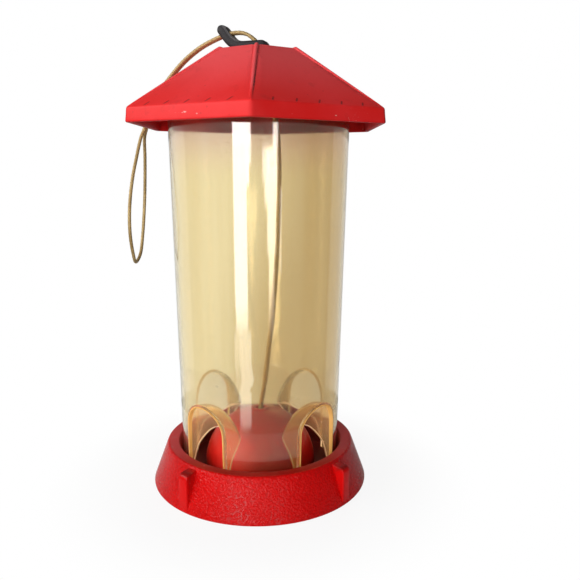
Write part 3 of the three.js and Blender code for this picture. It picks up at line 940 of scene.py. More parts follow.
def laid_cable_tree():
    """A cable of wires laid round each other along a route, with a mark in the gaps between them."""
    inputs = [("Route", GEOMETRY), ("Radius", FLOAT), ("Wires", WHOLE), ("Lay Length", FLOAT),
              ("Gap Depth", FLOAT), ("Sides", WHOLE), ("Finish", MATERIAL)]
    nodes, given, out = new_tree("laid_cable", "GeometryNodeTree", inputs, [("Cable", GEOMETRY)])
    line = nodes.add("GeometryNodeMeshToCurve", {"Mesh": given["Route"]}).outputs["Curve"]
    along = nodes.add("GeometryNodeSplineParameter").outputs["Length"]
    tilt = nodes.times(nodes.math("DIVIDE", along, given["Lay Length"]), 2 * math.pi)
    line = nodes.add("GeometryNodeSetCurveTilt", {"Curve": line, "Tilt": tilt}).outputs["Curve"]
    values = {"Resolution": given["Sides"], "Radius": given["Radius"]}
    circle = nodes.add("GeometryNodeCurvePrimitiveCircle", values).outputs["Curve"]
    index = nodes.add("GeometryNodeInputIndex").outputs["Index"]
    share = nodes.math("DIVIDE", index, given["Sides"])
    wave = nodes.times(nodes.times(share, given["Wires"]), math.pi)
    gap = nodes.math("SUBTRACT", 1.0, nodes.math("ABSOLUTE", nodes.math("COSINE", wave)))
    scale = nodes.math("SUBTRACT", 1.0, nodes.times(gap, given["Gap Depth"]))
    place = nodes.add("GeometryNodeInputPosition").outputs["Position"]
    moved = nodes.add("ShaderNodeVectorMath", {0: place, "Scale": scale}, operation="SCALE").outputs["Vector"]
    values = {"Geometry": circle, "Name": "gap", "Value": gap}
    marked = nodes.add("GeometryNodeStoreNamedAttribute", values, data_type="FLOAT", domain="POINT")
    values = {"Geometry": marked.outputs["Geometry"], "Position": moved}
    profile = nodes.add("GeometryNodeSetPosition", values).outputs["Geometry"]
    values = {"Curve": line, "Profile Curve": profile, "Fill Caps": True}
    body = nodes.add("GeometryNodeCurveToMesh", values).outputs["Mesh"]
    return end_tree(nodes, body, given["Finish"], out["Cable"])


def cable_stretch(name, points, tree, finish):
    """One stretch of laid cable along its points."""
    mesh = bpy.data.meshes.new(name)
    mesh.from_pydata([p * MM for p in points], [(i, i + 1) for i in range(len(points) - 1)], [])
    piece = new_object(name, mesh)
    run_tree(piece, tree, {"Radius": CABLE_DIAMETER / 2 * MM, "Wires": CABLE_WIRES, "Sides": CABLE_SIDES,
                           "Lay Length": CABLE_LAY * MM, "Gap Depth": WIRE_DEPTH, "Finish": finish})
    smooth(piece, 60)
    return piece


def add_cable(finish):
    """The doubled cable in stretches, each on the body that carries it, or on none where it runs between two.
    """
    route = cable_route()
    lengths = lengths_along(route)
    total = lengths[-1]
    reach = [next(lengths[i] for i, p in enumerate(route) if p.z >= height) for height in CABLE_SPLITS]
    starts = [0.0, *(r + CABLE_GAP for r in reach)]
    ends = [*(r - CABLE_GAP for r in reach), total - reach[-1] - CABLE_GAP]
    tree = laid_cable_tree()
    carriers = [("cable_foot", "base", "base"), ("cable_lower", "base", "tube"),
                ("cable_upper", "tube", "roof"), ("cable_neck", "roof", "keeper")]
    for (name, lower, upper), start, end in zip(carriers, starts, ends):
        for strand, first, last in (("a", start, end), ("b", total - end, total - start)):
            points = even_points(route, first, last, CABLE_STEP)
            if strand == "b":
                points.reverse()
            piece = cable_stretch(f"wire_{name}_{strand}", points, tree, finish)
            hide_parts(f"{name}_{strand}")
            if lower == upper:
                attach(piece, lower)
            else:
                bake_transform(piece)
    points = even_points(route, starts[-1], ends[-1], CABLE_STEP)
    piece = cable_stretch("wire_hanging_loop", points, tree, finish)
    settle(piece, finish, "keeper", "cable_steel", "hanging_loop")


# Base tray


def fin_ring_tree():
    """Copies of one piece set evenly round the axis."""
    inputs = [("Fin", GEOMETRY), ("Count", WHOLE), ("Finish", MATERIAL)]
    nodes, given, out = new_tree("fin_ring", "GeometryNodeTree", inputs, [("Ring", GEOMETRY)])
    spots = nodes.add("GeometryNodePoints", {"Count": given["Count"]}).outputs["Points"]
    index = nodes.add("GeometryNodeInputIndex").outputs["Index"]
    share = nodes.math("DIVIDE", index, given["Count"])
    turn = nodes.math("MULTIPLY_ADD", share, 2 * math.pi, math.radians(FIN_TURN))
    spin = nodes.add("ShaderNodeCombineXYZ", {"Z": turn}).outputs["Vector"]
    values = {"Points": spots, "Instance": given["Fin"], "Rotation": spin}
    copies = nodes.add("GeometryNodeInstanceOnPoints", values).outputs["Instances"]
    return end_tree(nodes, copies, given["Finish"], out["Ring"])


def skirt_radius(z):
    return TRAY_RADIUS - (TRAY_RADIUS - RIM_OUTER) * z / TRAY_HEIGHT


def tray_fin():
    """One gusset fin, flat outside, sunk a little into the skirt."""
    outer = TRAY_RADIUS - FIN_INSET
    top = TRAY_HEIGHT - FIN_DROP
    foot = 0.7 * TRAY_HEIGHT * FIN_INSET / (TRAY_RADIUS - RIM_OUTER)
    outline = rounded([
        (skirt_radius(foot) - FIN_SUNK, foot, 0),
        (outer, foot, 0),
        (outer, top, FIN_ROUND),
        (skirt_radius(top) - FIN_SUNK, top + FIN_TOP_FALL, 0),
    ], 6)
    half = FIN_WIDTH / 2
    points = [(p.x, side, p.y) for side in (-half, half) for p in outline]
    count = len(outline)
    faces = [(i, (i + 1) % count, count + (i + 1) % count, count + i) for i in range(count)]
    faces += [tuple(range(count)), tuple(range(2 * count - 1, count - 1, -1))]
    fin = mesh_piece("tray_fin", points, faces)
    edges = fin.modifiers.new("edges", "BEVEL")
    edges.width = FIN_BEVEL * MM
    edges.segments = 5
    edges.limit_method = "ANGLE"
    edges.angle_limit = math.radians(50)
    return evaluated(fin)


def fin_share(place):
    """1 on the fins, which stand proud of the skirt."""
    return ease(math.hypot(place.x, place.y) - skirt_radius(place.z), 0.05, 0.3)


def fin_top_shade_share(place):
    """1 on the fins' tops, where shade is painted."""
    return fin_share(place) * ease(place.z, TRAY_HEIGHT - FIN_DROP - 1.4, TRAY_HEIGHT - FIN_DROP - 0.3)


def add_tray(finish):
    slant = math.hypot(1, (TRAY_RADIUS - RIM_OUTER) / TRAY_HEIGHT)
    rim_under = TRAY_HEIGHT - TRAY_WALL
    floor_under = FLOOR - TRAY_WALL
    hub_under = HUB_TOP - TRAY_WALL
    outline = rounded([
        (CABLE_HOLE, hub_under, 0.3),
        (HUB_FOOT - HUB_DRAFT - TRAY_WALL, hub_under, 1),
        (HUB_FOOT - TRAY_WALL, floor_under, 1.5),
        (BOWL_FLOOR + TRAY_WALL, floor_under, 1.2),
        (BOWL_RIM + TRAY_WALL, rim_under, 0.8),
        (skirt_radius(rim_under) - TRAY_WALL * slant, rim_under, 0.8),
        (TRAY_RADIUS - TRAY_WALL * slant, 0, 0.5),
        (TRAY_RADIUS, 0, 0.7),
        (RIM_OUTER, TRAY_HEIGHT, 1.9),
        (BOWL_RIM, TRAY_HEIGHT, 0.9),
        (BOWL_FLOOR, FLOOR, 1.5),
        (HUB_FOOT, FLOOR, 0.3),
        (HUB_FOOT, DOME_FOOT + DOME_SKIRT, 0.5),
        (HUB_FOOT - HUB_DRAFT, HUB_TOP, 1.5),
        (CABLE_HOLE, HUB_TOP, 0.3),
    ])
    tray = turned("moulded_tray", refined(outline, 5))
    fins = run_tree(tray_fin(), fin_ring_tree(), {"Count": FINS, "Finish": finish})
    cut(tray, fins, "UNION", 28)
    paint(tray, "fin", fin_share)
    paint(tray, "fin_top_shade", fin_top_shade_share)
    settle(tray, finish, "base", "red_plastic", "base_tray")


def add_dome(finish):
    """The seed dome with a small boss round the cable's hole."""
    inner = DOME_RADIUS - DOME_WALL
    centre = DOME_FOOT + DOME_SKIRT

    def on_dome(radius, across):
        return centre + math.sqrt(radius * radius - across * across)

    def arc(radius, hole):
        turns = [math.radians(90 * k / DOME_STEPS) for k in range(DOME_STEPS + 1)]
        places = [(radius * math.cos(turn), centre + radius * math.sin(turn)) for turn in turns]
        return [place for place in places if place[0] > hole + 1]

    top = on_dome(DOME_RADIUS, DOME_BOSS) + DOME_BOSS_RISE
    outline = [(DOME_RADIUS - 0.5, DOME_FOOT), (DOME_RADIUS - 0.1, DOME_FOOT + 0.1),
               (DOME_RADIUS, DOME_FOOT + 0.5)]
    outline += arc(DOME_RADIUS, DOME_BOSS)
    outline += [(DOME_BOSS + 0.7, on_dome(DOME_RADIUS, DOME_BOSS + 0.7)), (DOME_BOSS + 0.2, top - 0.6),
                (DOME_BOSS - 0.3, top - 0.1), (DOME_BOSS - 0.8, top), (CABLE_HOLE + 0.5, top),
                (CABLE_HOLE + 0.1, top - 0.2), (CABLE_HOLE, top - 0.6)]
    outline += [(CABLE_HOLE, on_dome(inner, CABLE_HOLE))]
    outline += reversed(arc(inner, CABLE_HOLE))
    outline += [(inner, DOME_FOOT)]
    dome = turned("moulded_seed_dome", [Vector(p) for p in outline])
    settle(dome, finish, "base", "red_plastic", "seed_dome")


# Clear tube


def tube_radius(z, inside=False):
    return FOOT_RADIUS + TUBE_TAPER * (z - TUBE_FOOT) - (TUBE_WALL if inside else 0)


def on_tube(angle, z, inside=False):
    """A place on the tube's skin, from the angle off the port's middle."""
    radius = tube_radius(z, inside)
    return Vector((radius * math.cos(angle), radius * math.sin(angle), z))


JAMB_STEPS = 26
ARCH_STEPS = 56
PANEL_STEPS = 8
HOOD_STEPS = (0.0, 0.06, 0.2, 0.35, 0.5, 0.65, 0.8, 0.92)
PORT_PLANE = FOOT_RADIUS + TUBE_TAPER * (PORT_CROWN - TUBE_FOOT)


def port_lines():
    """For each place along the port's edge: its shares across, up the arch and up the jamb."""
    jamb = [(-1.0, 0.0, k / JAMB_STEPS) for k in range(JAMB_STEPS)]
    arch = []
    for k in range(ARCH_STEPS + 1):
        angle = math.pi * (1 - k / ARCH_STEPS)
        arch.append((math.cos(angle), math.sin(angle), 1.0))
    return jamb + arch + [(-across, lift, up) for across, lift, up in reversed(jamb)]


def edge_slopes():
    """How steeply the hood's lower edge rises at each of its stations, going in."""
    steps = [(high - low) / (outer - inner) for (outer, low), (inner, high) in zip(HOOD_EDGE, HOOD_EDGE[1:])]
    between = [(before + after) / 2 for before, after in zip(steps, steps[1:])]
    return steps[:1] + between + steps[-1:]


EDGE_SLOPES = edge_slopes()


def edge_height(out):
    """The height of the hood's lower edge, a smooth line through its stations."""
    for k in range(len(HOOD_EDGE) - 1):
        outer, low = HOOD_EDGE[k]
        inner, high = HOOD_EDGE[k + 1]
        if out >= inner:
            width = outer - inner
            share = (outer - out) / width
            rest = 1 - share
            rise = EDGE_SLOPES[k] * share * rest * rest - EDGE_SLOPES[k + 1] * share * share * rest
            return low * (1 + 2 * share) * rest * rest + high * (1 + 2 * rest) * share * share + width * rise
    return HOOD_EDGE[-1][1]


class HoodLine:
    """A line along the hood, from the tube's skin in towards the seed, that falls and closes as it goes."""

    def __init__(self, across, lift, up, grow):
        self.across = across
        self.lift = lift
        self.up = up
        self.grow = grow

    def at(self, out):
        share = max(0.0, (PORT_PLANE - out) / (PORT_PLANE - HOOD_END)) ** 3
        half = PORT_HALF - HOOD_TAPER * share + self.grow
        spring = PORT_CROWN - PORT_HALF - (HOOD_FALL - HOOD_TAPER) * share
        height = TUBE_FOOT + (spring - TUBE_FOOT) * self.up + half * self.lift
        return Vector((out, half * self.across, height))

    def skin(self, inside):
        """How far out the line crosses the tube's skin."""
        out = FOOT_RADIUS
        for _ in range(12):
            place = self.at(out)
            radius = tube_radius(place.z, inside)
            out = math.sqrt(radius * radius - place.y * place.y)
        return out

    def end(self, wall):
        """How far out the hood stops: at its end, at its lower edge, or at the wall where there is none."""
        if self.at(wall).z <= edge_height(wall):
            return wall
        if self.at(HOOD_END).z >= edge_height(HOOD_END):
            return HOOD_END
        near, far = HOOD_END, wall
        for _ in range(30):
            middle = (near + far) / 2
            if self.at(middle).z < edge_height(middle):
                near = middle
            else:
                far = middle
        return far


def eased_corner(before, corner, after):
    """Three points that round a corner between its two neighbours."""
    first = corner + (before - corner).normalized() * min(EDGE_ROUND, 0.45 * (before - corner).length)
    last = corner + (after - corner).normalized() * min(EDGE_ROUND, 0.45 * (after - corner).length)
    middle = corner.lerp((first + last) / 2, 0.586)
    return [first, middle, last]


def panel_edge(k, count):
    """The place on the border of a port's panel that belongs to a place along the port's edge."""
    quarter = math.pi / 4
    left = JAMB_STEPS + ARCH_STEPS // 4
    right = count - 1 - left
    if k <= left:
        return -quarter, TUBE_FOOT + (PANEL_TOP - TUBE_FOOT) * k / left
    if k >= right:
        return quarter, TUBE_FOOT + (PANEL_TOP - TUBE_FOOT) * (count - 1 - k) / left
    return -quarter + 2 * quarter * (k - left) / (right - left), PANEL_TOP


def port_column(k, lines):
    """All the points that belong to one place along the port's edge, from the outer panel round the hood
    to the inner panel, each with its shares of cut edge and of hood."""
    inner_line = HoodLine(*lines[k], 0)
    outer_line = HoodLine(*lines[k], HOOD_WALL)
    start = inner_line.skin(False)
    wall = inner_line.skin(True)
    end = inner_line.end(wall)
    outer_wall = outer_line.skin(True)
    outer_end = outer_line.end(outer_wall)
    angle, z = panel_edge(k, len(lines))

    def panel(origin, inside):
        own_angle = math.atan2(origin.y, origin.x)
        first = RIBBON / (on_tube(angle, z, inside) - origin).length
        shares = [first + (1 - first) * (j / (PANEL_STEPS - 1)) ** 2.4 for j in range(PANEL_STEPS)]
        places = [(own_angle + (angle - own_angle) * s, origin.z + (z - origin.z) * s) for s in shares]
        return [on_tube(*place, inside) for place in places]

    edge = inner_line.at(start)
    outer_panel = panel(edge, False)
    inner_panel = panel(outer_line.at(outer_wall), True)
    lip = inner_line.at(end)
    back = outer_line.at(outer_end)
    hood = [inner_line.at(wall + (end - wall) * s) for s in HOOD_STEPS]
    hood_back = [outer_line.at(outer_wall + (outer_end - outer_wall) * s) for s in reversed(HOOD_STEPS)]
    points = list(reversed(outer_panel))
    kinds = [(0.0, 0.0)] * len(points)
    points += eased_corner(outer_panel[0], edge, inner_line.at(wall))
    kinds += [(0.6, 0.0), (0.9, 0.0), (1.0, 0.0)]
    points += hood
    kinds += [(0.9, 1.0)] + [(0.0, 1.0)] * (len(hood) - 1)
    lip_side = (lip - back).normalized() * min(EDGE_ROUND, 0.3 * (lip - back).length)
    points += [lip.lerp(hood[-1], 0.15), lip - lip_side, back + lip_side, back.lerp(hood_back[0], 0.15)]
    kinds += [(0.05, 1.0), (0.2, 1.0), (0.2, 1.0), (0.05, 1.0)]
    points += hood_back
    kinds += [(0.0, 1.0)] * (len(hood_back) - 1) + [(0.0, 0.5)]
    points += inner_panel
    kinds += [(0.0, 0.0)] * len(inner_panel)
    return points, kinds


# Which of the tube's finishes a face has
CLEAR_FACE, HOOD_FACE, EDGE_FACE = range(3)


def add_tube(*finishes):
    """The tube as one mesh: a panel with its port and hood on each side, and the plain wall above them."""
    lines = port_lines()
    columns = [port_column(k, lines) for k in range(len(lines))]
    depth = len(columns[0][0])
    points = []
    faces = []
    kinds = []
    for port in range(PORTS):
        turn = Matrix.Rotation(2 * math.pi * port / PORTS, 3, "Z")
        first = len(points)
        for column, column_kinds in columns:
            points.extend(turn @ p for p in column)
            kinds.extend(column_kinds)
        faces.extend(tuple(first + i for i in face) for face in grid_faces(len(columns), depth))
        for k in (0, len(columns) - 1):
            foot = first + k * depth
            for j in range(PANEL_STEPS - 1):
                faces.append((foot + j, foot + j + 1, foot + depth - 2 - j, foot + depth - 1 - j))
            faces.append(tuple(foot + i for i in range(PANEL_STEPS - 1, depth - PANEL_STEPS + 1)))
    wall, wall_faces = upper_wall(ARCH_STEPS // 2 * PORTS)
    faces.extend(tuple(len(points) + i for i in face) for face in wall_faces)
    points.extend(wall)
    kinds.extend([(1.0 if p.z > TUBE_TOP - 0.4 else 0.0, 0.0) for p in wall])
    marks = {"edge": [k[0] for k in kinds], "hood": [k[1] for k in kinds]}
    tube = mesh_piece("clear_tube", points, faces, marks, 40)
    settle(tube, finishes, "tube", "clear_plastic", "reservoir_tube")
    edge, hood = (tube.data.attributes[mark].data for mark in ("edge", "hood"))
    for face in tube.data.polygons:
        count = len(face.vertices)
        if sum(edge[v].value for v in face.vertices) / count > 0.25:
            face.material_index = EDGE_FACE
        elif sum(hood[v].value for v in face.vertices) / count > 0.6:
            face.material_index = HOOD_FACE
        else:
            face.material_index = CLEAR_FACE


def upper_wall(segments):
    """The plain wall above the ports, up over the rounded mouth and down inside."""
    heights = [PANEL_TOP + (TUBE_TOP - 1 - PANEL_TOP) * k / 14 for k in range(15)]
    outline = [(tube_radius(z), z) for z in heights]
    inner = MOUTH_RADIUS - TUBE_WALL
    lip = [(0.0, 0.5), (0.15, 0.15), (0.5, 0.0)]
    outline += [(MOUTH_RADIUS - across, TUBE_TOP - down) for across, down in lip]
    outline += [(inner + across, TUBE_TOP - down) for across, down in reversed(lip)]
    outline += [(tube_radius(z, True), z) for z in reversed(heights)]
    points = []
    for i in range(segments):
        angle = math.pi / 4 + 2 * math.pi * i / segments
        points.extend(Vector((r * math.cos(angle), r * math.sin(angle), z)) for r, z in outline)
    return points, grid_faces(segments, len(outline), close_rows=True)


# Roof

SIX = math.cos(math.pi / 6)
ROOF_FALL = ROOF_RISE / ((EAVE_RADIUS - PLATEAU_RADIUS) * SIX)
ROOF_DROP = ROOF_WALL * math.hypot(1, ROOF_FALL)
SLOPE_NORMAL = Vector((ROOF_FALL, 1)).normalized()
HIP_STEPS = (0.0, 0.28, 0.52, 0.72, 0.88, 1.0)
GROOVE_STEPS = (0.3, 0.65, 1.0)
SIDE_STEPS = 9


def roof_outline():
    """The roof's section through a hip: radius and height, all the way round."""
    inner_flat = EAVE_RADIUS * SIX - ROOF_WALL
    inner_eave = EAVE_TOP + ROOF_WALL * ROOF_FALL - ROOF_DROP
    inner_plateau = EAVE_RADIUS * SIX - (ROOF_RISE - ROOF_WALL + ROOF_DROP) / ROOF_FALL
    inner_foot = inner_flat / SIX + FASCIA_FLARE * (inner_eave - EAVE_BOTTOM) / FASCIA
    corners = [
        (ROOF_HOLE, PLATEAU, 0.4),
        (ROOF_HOLE, PLATEAU - ROOF_WALL, 0.4),
        (inner_plateau / SIX, PLATEAU - ROOF_WALL, 2),
        (inner_flat / SIX, inner_eave, 1.2),
        (inner_foot, EAVE_BOTTOM, 0.5),
        (EAVE_RADIUS + FASCIA_FLARE, EAVE_BOTTOM, 0.8),
        (EAVE_RADIUS, EAVE_TOP, 2.0),
        (PLATEAU_RADIUS, PLATEAU, 1.0),
    ]
    return refined(rounded(corners), 2.5)


def up_hip(radius):
    """The share of the way up a hip at a radius along it, and the slope's height there."""
    share = (EAVE_RADIUS - radius) / (EAVE_RADIUS - PLATEAU_RADIUS)
    return share, EAVE_TOP + ROOF_RISE * clamp(share)


def bead_half(share):
    """Half the width of the bead, which grows up the hip."""
    return BEAD_NARROW + (BEAD_HALF - BEAD_NARROW) * clamp(share)


def hip_bead(radius, z):
    """How high and how wide the bead on a hip stands at a place on the section."""
    share, surface = up_hip(radius)
    if abs(z - surface) > 1 or share < 0:
        return 0.0, BEAD_HALF
    past = max(0.0, PLATEAU_RADIUS - radius) / BEAD_NOSE
    rise = BEAD_RISE * clamp(share) ** 0.7 * math.sqrt(max(0.0, 1 - past * past))
    return rise, bead_half(share)


def roof_ring(radius, z):
    """One ring of the six-sided roof, with its corners rounded and its hip beads raised."""
    rise, half = hip_bead(radius, z)
    outside = rise > 0
    side = radius / 2
    corner = 2.4 * ease(z, EAVE_TOP + 3, EAVE_TOP - 3) + 0.8
    fit = min(1.0, 0.6 * side / (half + GROOVE_WIDTH))
    near = [half * s * fit for s in HIP_STEPS] + [(half + GROOVE_WIDTH * s) * fit for s in GROOVE_STEPS]
    offsets = near + [near[-1] + (side - near[-1]) * k / SIDE_STEPS for k in range(1, SIDE_STEPS + 1)]
    signed = [-d for d in reversed(offsets[1:-1])] + offsets
    tangent = corner * fit * math.tan(math.pi / 6)
    roundness = ease(radius, 14, 5)
    points = []
    for k in range(6):
        ahead = bearing(ROOF_TURN + 60 * k)
        across = bearing(ROOF_TURN + 60 * k + 90)
        for offset in signed:
            d = abs(offset)
            sign = math.copysign(1, offset)
            if d < tangent:
                turn = math.pi / 6 * d / tangent
                u = radius - corner * fit / SIX + corner * fit * math.cos(turn)
                v = sign * corner * fit * math.sin(turn)
            else:
                u = radius - d / 2
                v = sign * d * SIX
            circle = radius / math.hypot(u, v)
            u *= 1 + (circle - 1) * roundness
            v *= 1 + (circle - 1) * roundness
            place = ahead * u + across * v + Vector((0, 0, z))
            if outside:
                lift = bead_lift(d, rise, half)
                lean = clamp(d / half)
                level = (ahead * (1 - lean * (1 - SIX)) + across * (sign * lean / 2)).normalized()
                flat = ease(radius, PLATEAU_RADIUS - 0.8, PLATEAU_RADIUS + 0.8)
                place += level * (lift * SLOPE_NORMAL.x * flat)
                place += Vector((0, 0, lift * (1 - (1 - SLOPE_NORMAL.y) * flat)))
            points.append(place)
    return points


def bead_lift(d, rise, half):
    """The bead's rounded rise, with a shallow groove at its foot."""
    if d < half:
        return rise * (1 - (d / half) ** 2) ** 0.5
    into = (d - half) / GROOVE_WIDTH
    if into < 1:
        return -GROOVE_DEPTH * min(1.0, rise / BEAD_RISE) * math.sin(math.pi * into)
    return 0.0


def roof_place(place, shift):
    """How far to the right of the nearest line up the roof a place lies, and how far out along that line. The
    lines are the hips with a shift of 30 degrees, and the middles of the sides with none."""
    angle = math.degrees(math.atan2(place.x, -place.y)) - ROOF_TURN
    off = math.radians((angle + shift) % 60 - 30)
    reach = math.hypot(place.x, place.y)
    return reach * math.sin(off), reach * math.cos(off)


def on_hip(place):
    """How far right of the nearest hip a place lies, its share of the way up and the slope's height."""
    right, along = roof_place(place, 30)
    right /= SIX
    return right, *up_hip(along + abs(right) / 2)


def groove_shade(place):
    """Painted shade lies in the groove on the right of each bead, and a little on its left."""
    right, share, height = on_hip(place)
    half = bead_half(share)
    inside = ease(abs(right), half - 0.3, half + 0.05)
    inside *= ease(abs(right), half + 0.65 * GROOVE_WIDTH, half + 0.2)
    on_slope = ease(place.z, height - 1.6, height - 1.0) * ease(share, 0.1, 0.25) * ease(share, 1.02, 0.97)
    ahead = bearing(SHADED_GROOVE_BEARING)
    facing = (place.x * ahead.x + place.y * ahead.y) / max(1.0, math.hypot(place.x, place.y))
    strength = 1 - 0.7 * ease(share, 0.3, 0.75)
    return inside * on_slope * strength * ease(facing, 0.25, 0.8) * (1.0 if right > 0 else 0.1)


def bead_highlight_share(place):
    """1 on the crests of the hip beads, where a highlight is painted."""
    right, share, height = on_hip(place)
    crest = ease(abs(right), BEAD_HALF, 0.5 * BEAD_HALF) * ease(place.z, height - 1.2, height - 0.6)
    return crest * ease(share, 0.1, 0.3)


def underside_share(place):
    """1 inside the shell, where sun and rain do not reach."""
    within = EAVE_RADIUS * SIX - roof_place(place, 0)[1]
    below = min(PLATEAU, EAVE_TOP + within * ROOF_FALL) - place.z
    return ease(min(below, within), 0.8, 1.6)


def eave_wear(place):
    """The fascia's lower edge has rubbed on things."""
    return 0.05 + 0.95 * ease(place.z, EAVE_TOP - 2, EAVE_BOTTOM + 2)


def across_face(place):
    """How far a place lies from the middle line of its side of the roof."""
    return roof_place(place, 0)[0]


def up_slope(place):
    """How far up the slope from the eave a place on the outside lies."""
    return (place.z - EAVE_TOP) * math.hypot(1, 1 / ROOF_FALL)


def add_roof(finish):
    outline = roof_outline()
    rings = [roof_ring(p.x, p.y) for p in outline]
    points = [p for ring in rings for p in ring]
    shell = mesh_piece("moulded_roof", points, grid_faces(len(rings), len(rings[0]), True, True), sharp=36)
    slope = EAVE_TOP + (EAVE_RADIUS * SIX - COLLAR_RADIUS) * ROOF_FALL
    collar = turned("roof_collar", rounded([
        (COLLAR_RADIUS, COLLAR_FOOT, 0.5),
        (COLLAR_RADIUS, slope - ROOF_DROP / 2 - 2.5, 0),
        (COLLAR_RADIUS - COLLAR_WALL, slope - ROOF_DROP / 2 - 2.5, 0),
        (COLLAR_RADIUS - COLLAR_WALL, COLLAR_FOOT, 0.5),
    ]), 144)
    cut(shell, collar, "UNION", 36)
    marks = {"groove": groove_shade, "bead": bead_highlight_share, "underside": underside_share, "eave": eave_wear,
             "across": across_face, "rise": up_slope}
    for mark, value in marks.items():
        paint(shell, mark, value)
    settle(shell, finish, "roof", "red_plastic", "roof")


# Cable keeper

KEEPER_MIDDLE = KEEPER_UNDER + KEEPER_THICK / 2
KEEPER_TURN = math.radians(KEEPER_BEND)
BEND_START = KEEPER_BACK + KEEPER_FLAT
BEND_END = BEND_START + KEEPER_BEND_RADIUS * KEEPER_TURN
KEEPER_LENGTH = BEND_END + KEEPER_TIP + KEEPER_THICK / 2


def keeper_place(along):
    """The keeper's middle at a length along it from its flat end, and how far it has turned up there."""
    turn = min(KEEPER_TURN, max(0.0, along - BEND_START) / KEEPER_BEND_RADIUS)
    over = max(0.0, along - BEND_END)
    out = min(along, BEND_START) - KEEPER_BACK + KEEPER_BEND_RADIUS * math.sin(turn)
    up = KEEPER_MIDDLE + KEEPER_BEND_RADIUS * (1 - math.cos(turn))
    return Vector((out + over * math.cos(turn), 0, up + over * math.sin(turn))), turn


def keeper_line():
    """Stations along the keeper, close together at its ends, each with its place and turn."""
    shares = [(1 - math.cos(math.pi * k / KEEPER_STEPS)) / 2 for k in range(KEEPER_STEPS + 1)]
    return [(KEEPER_LENGTH * share, *keeper_place(KEEPER_LENGTH * share)) for share in shares]


KEEPER_LINE = keeper_line()


def keeper_section(scale_out, scale_up, count=40):
    """A soft-cornered section, across and up."""
    section = []
    for k in range(count):
        angle = 2 * math.pi * k / count
        across = math.copysign(abs(math.cos(angle)) ** 0.5, math.cos(angle))
        up = math.copysign(abs(math.sin(angle)) ** 0.62, math.sin(angle))
        section.append((across * KEEPER_WIDTH / 2 * scale_out, up * KEEPER_THICK / 2 * scale_up))
    return section


def eye_cutter(name, length, along):
    """A slot with flared mouths, to cut an eye with rounded lips."""
    rise = [(0, 0), (0.64, 0.1), (0.92, 0.45), (1.16, 1.1), (2.4, 2.6)]
    levels = [(-up, grow) for up, grow in reversed(rise[1:])] + rise
    centre, turn = keeper_place(along)
    place = Matrix.Translation(centre) @ Matrix.Rotation(-turn, 4, "Y")
    points = []
    for up, grow in levels:
        ring = slot_ring(EYE_WIDTH / 2 + grow, (length - EYE_WIDTH) / 2)
        points.extend(place @ Vector((out, across, up * KEEPER_THICK / 2)) for out, across in ring)
    return mesh_piece(name, points, capped_faces(len(levels), SLOT_STEPS))


def keeper_lit_face(place):
    """1 on the raised end's inner face, where a highlight is painted."""
    level = Vector((place.x, 0, place.z))
    _, middle, turn = min(KEEPER_LINE, key=lambda row: (row[1] - level).length_squared)
    rise = (level - middle).dot(Vector((-math.sin(turn), 0, math.cos(turn))))
    return ease(rise, 0.25 * KEEPER_THICK, 0.42 * KEEPER_THICK) * ease(turn, 0.1, 0.5)


def end_round(distance, reach):
    """A quarter circle's rise, from 0 at an end to 1 at its reach."""
    return math.sqrt(clamp(1 - (1 - distance / reach) ** 2)) if distance < reach else 1.0


def add_keeper(finish):
    rows = []
    for along, place, turn in KEEPER_LINE:
        near_end = min(along, KEEPER_LENGTH - along)
        thin = max(0.02, end_round(near_end, KEEPER_ROUND))
        narrow = 0.7 + 0.3 * end_round(near_end, KEEPER_NARROW)
        up = Vector((-math.sin(turn), 0, math.cos(turn)))
        rows.append([place + Vector((0, across, 0)) + up * rise
                     for across, rise in keeper_section(narrow, thin)])
    points = [p for row in rows for p in row]
    keeper = mesh_piece("bent_cable_keeper", points, capped_faces(len(rows), len(rows[0])), sharp=50)
    cut(keeper, eye_cutter("flat_eye", FLAT_EYE, KEEPER_BACK + FLAT_EYE_OUT), "DIFFERENCE", 50)
    cut(keeper, eye_cutter("tip_eye", TIP_EYE, BEND_END + TIP_EYE_OUT), "DIFFERENCE", 50)
    paint(keeper, "upper", keeper_lit_face)
    keeper.data.transform(Matrix.Rotation(math.radians(CABLE_TURN), 4, "Z"))
    settle(keeper, finish, "keeper", "black_plastic", "cable_keeper")


# Anchor under the tray


def add_washer(finish):
    washer = turned("anchor_plate_washer", rounded([
        (CABLE_HOLE, washer_low.z, 0.25), (washer_high.x, washer_low.z, 0.4),
        (washer_high.x, washer_high.z, 0.25), (CABLE_HOLE, washer_high.z, 0.25)]), 72)
    settle(washer, finish, "base", "zinc", "anchor_washer")


def add_ferrule(finish):
    """A double sleeve with rounded ends and two crimped waists."""
    bore = (CABLE_DIAMETER + FERRULE_PLAY) / 2
    step = (ferrule_high.z - ferrule_low.z) / 8
    rows = [(bore + FERRULE_WALL + grow, ferrule_low.z + up * step) for up, grow in FERRULE_LEVELS]
    rows += [(bore, ferrule_high.z), (bore, ferrule_low.z)]
    points = []
    for radius, z in rows:
        points.extend(Vector((across, along, z)) for along, across in slot_ring(radius, STRAND_PITCH / 2))
    ferrule = mesh_piece("crimped_sleeve", points, grid_faces(len(rows), SLOT_STEPS, True, True))
    ferrule.data.transform(Matrix.Rotation(math.radians(CABLE_TURN), 4, "Z"))
    settle(ferrule, finish, "base", "zinc", "crimp_ferrule")


# Stage

FLOOR_RADIUS = 140
WINDOW_REACH = 1200
WINDOW_PARTS = 6
BACKDROP_REACH = 2600
BACKDROP_SWEEP = 150
BACKDROP_LOW = -900
BACKDROP_HIGH = 300
AMBIENT = 0.08
ROOM_GLOSS = 0.15
WALL_GLOSS = 0.7


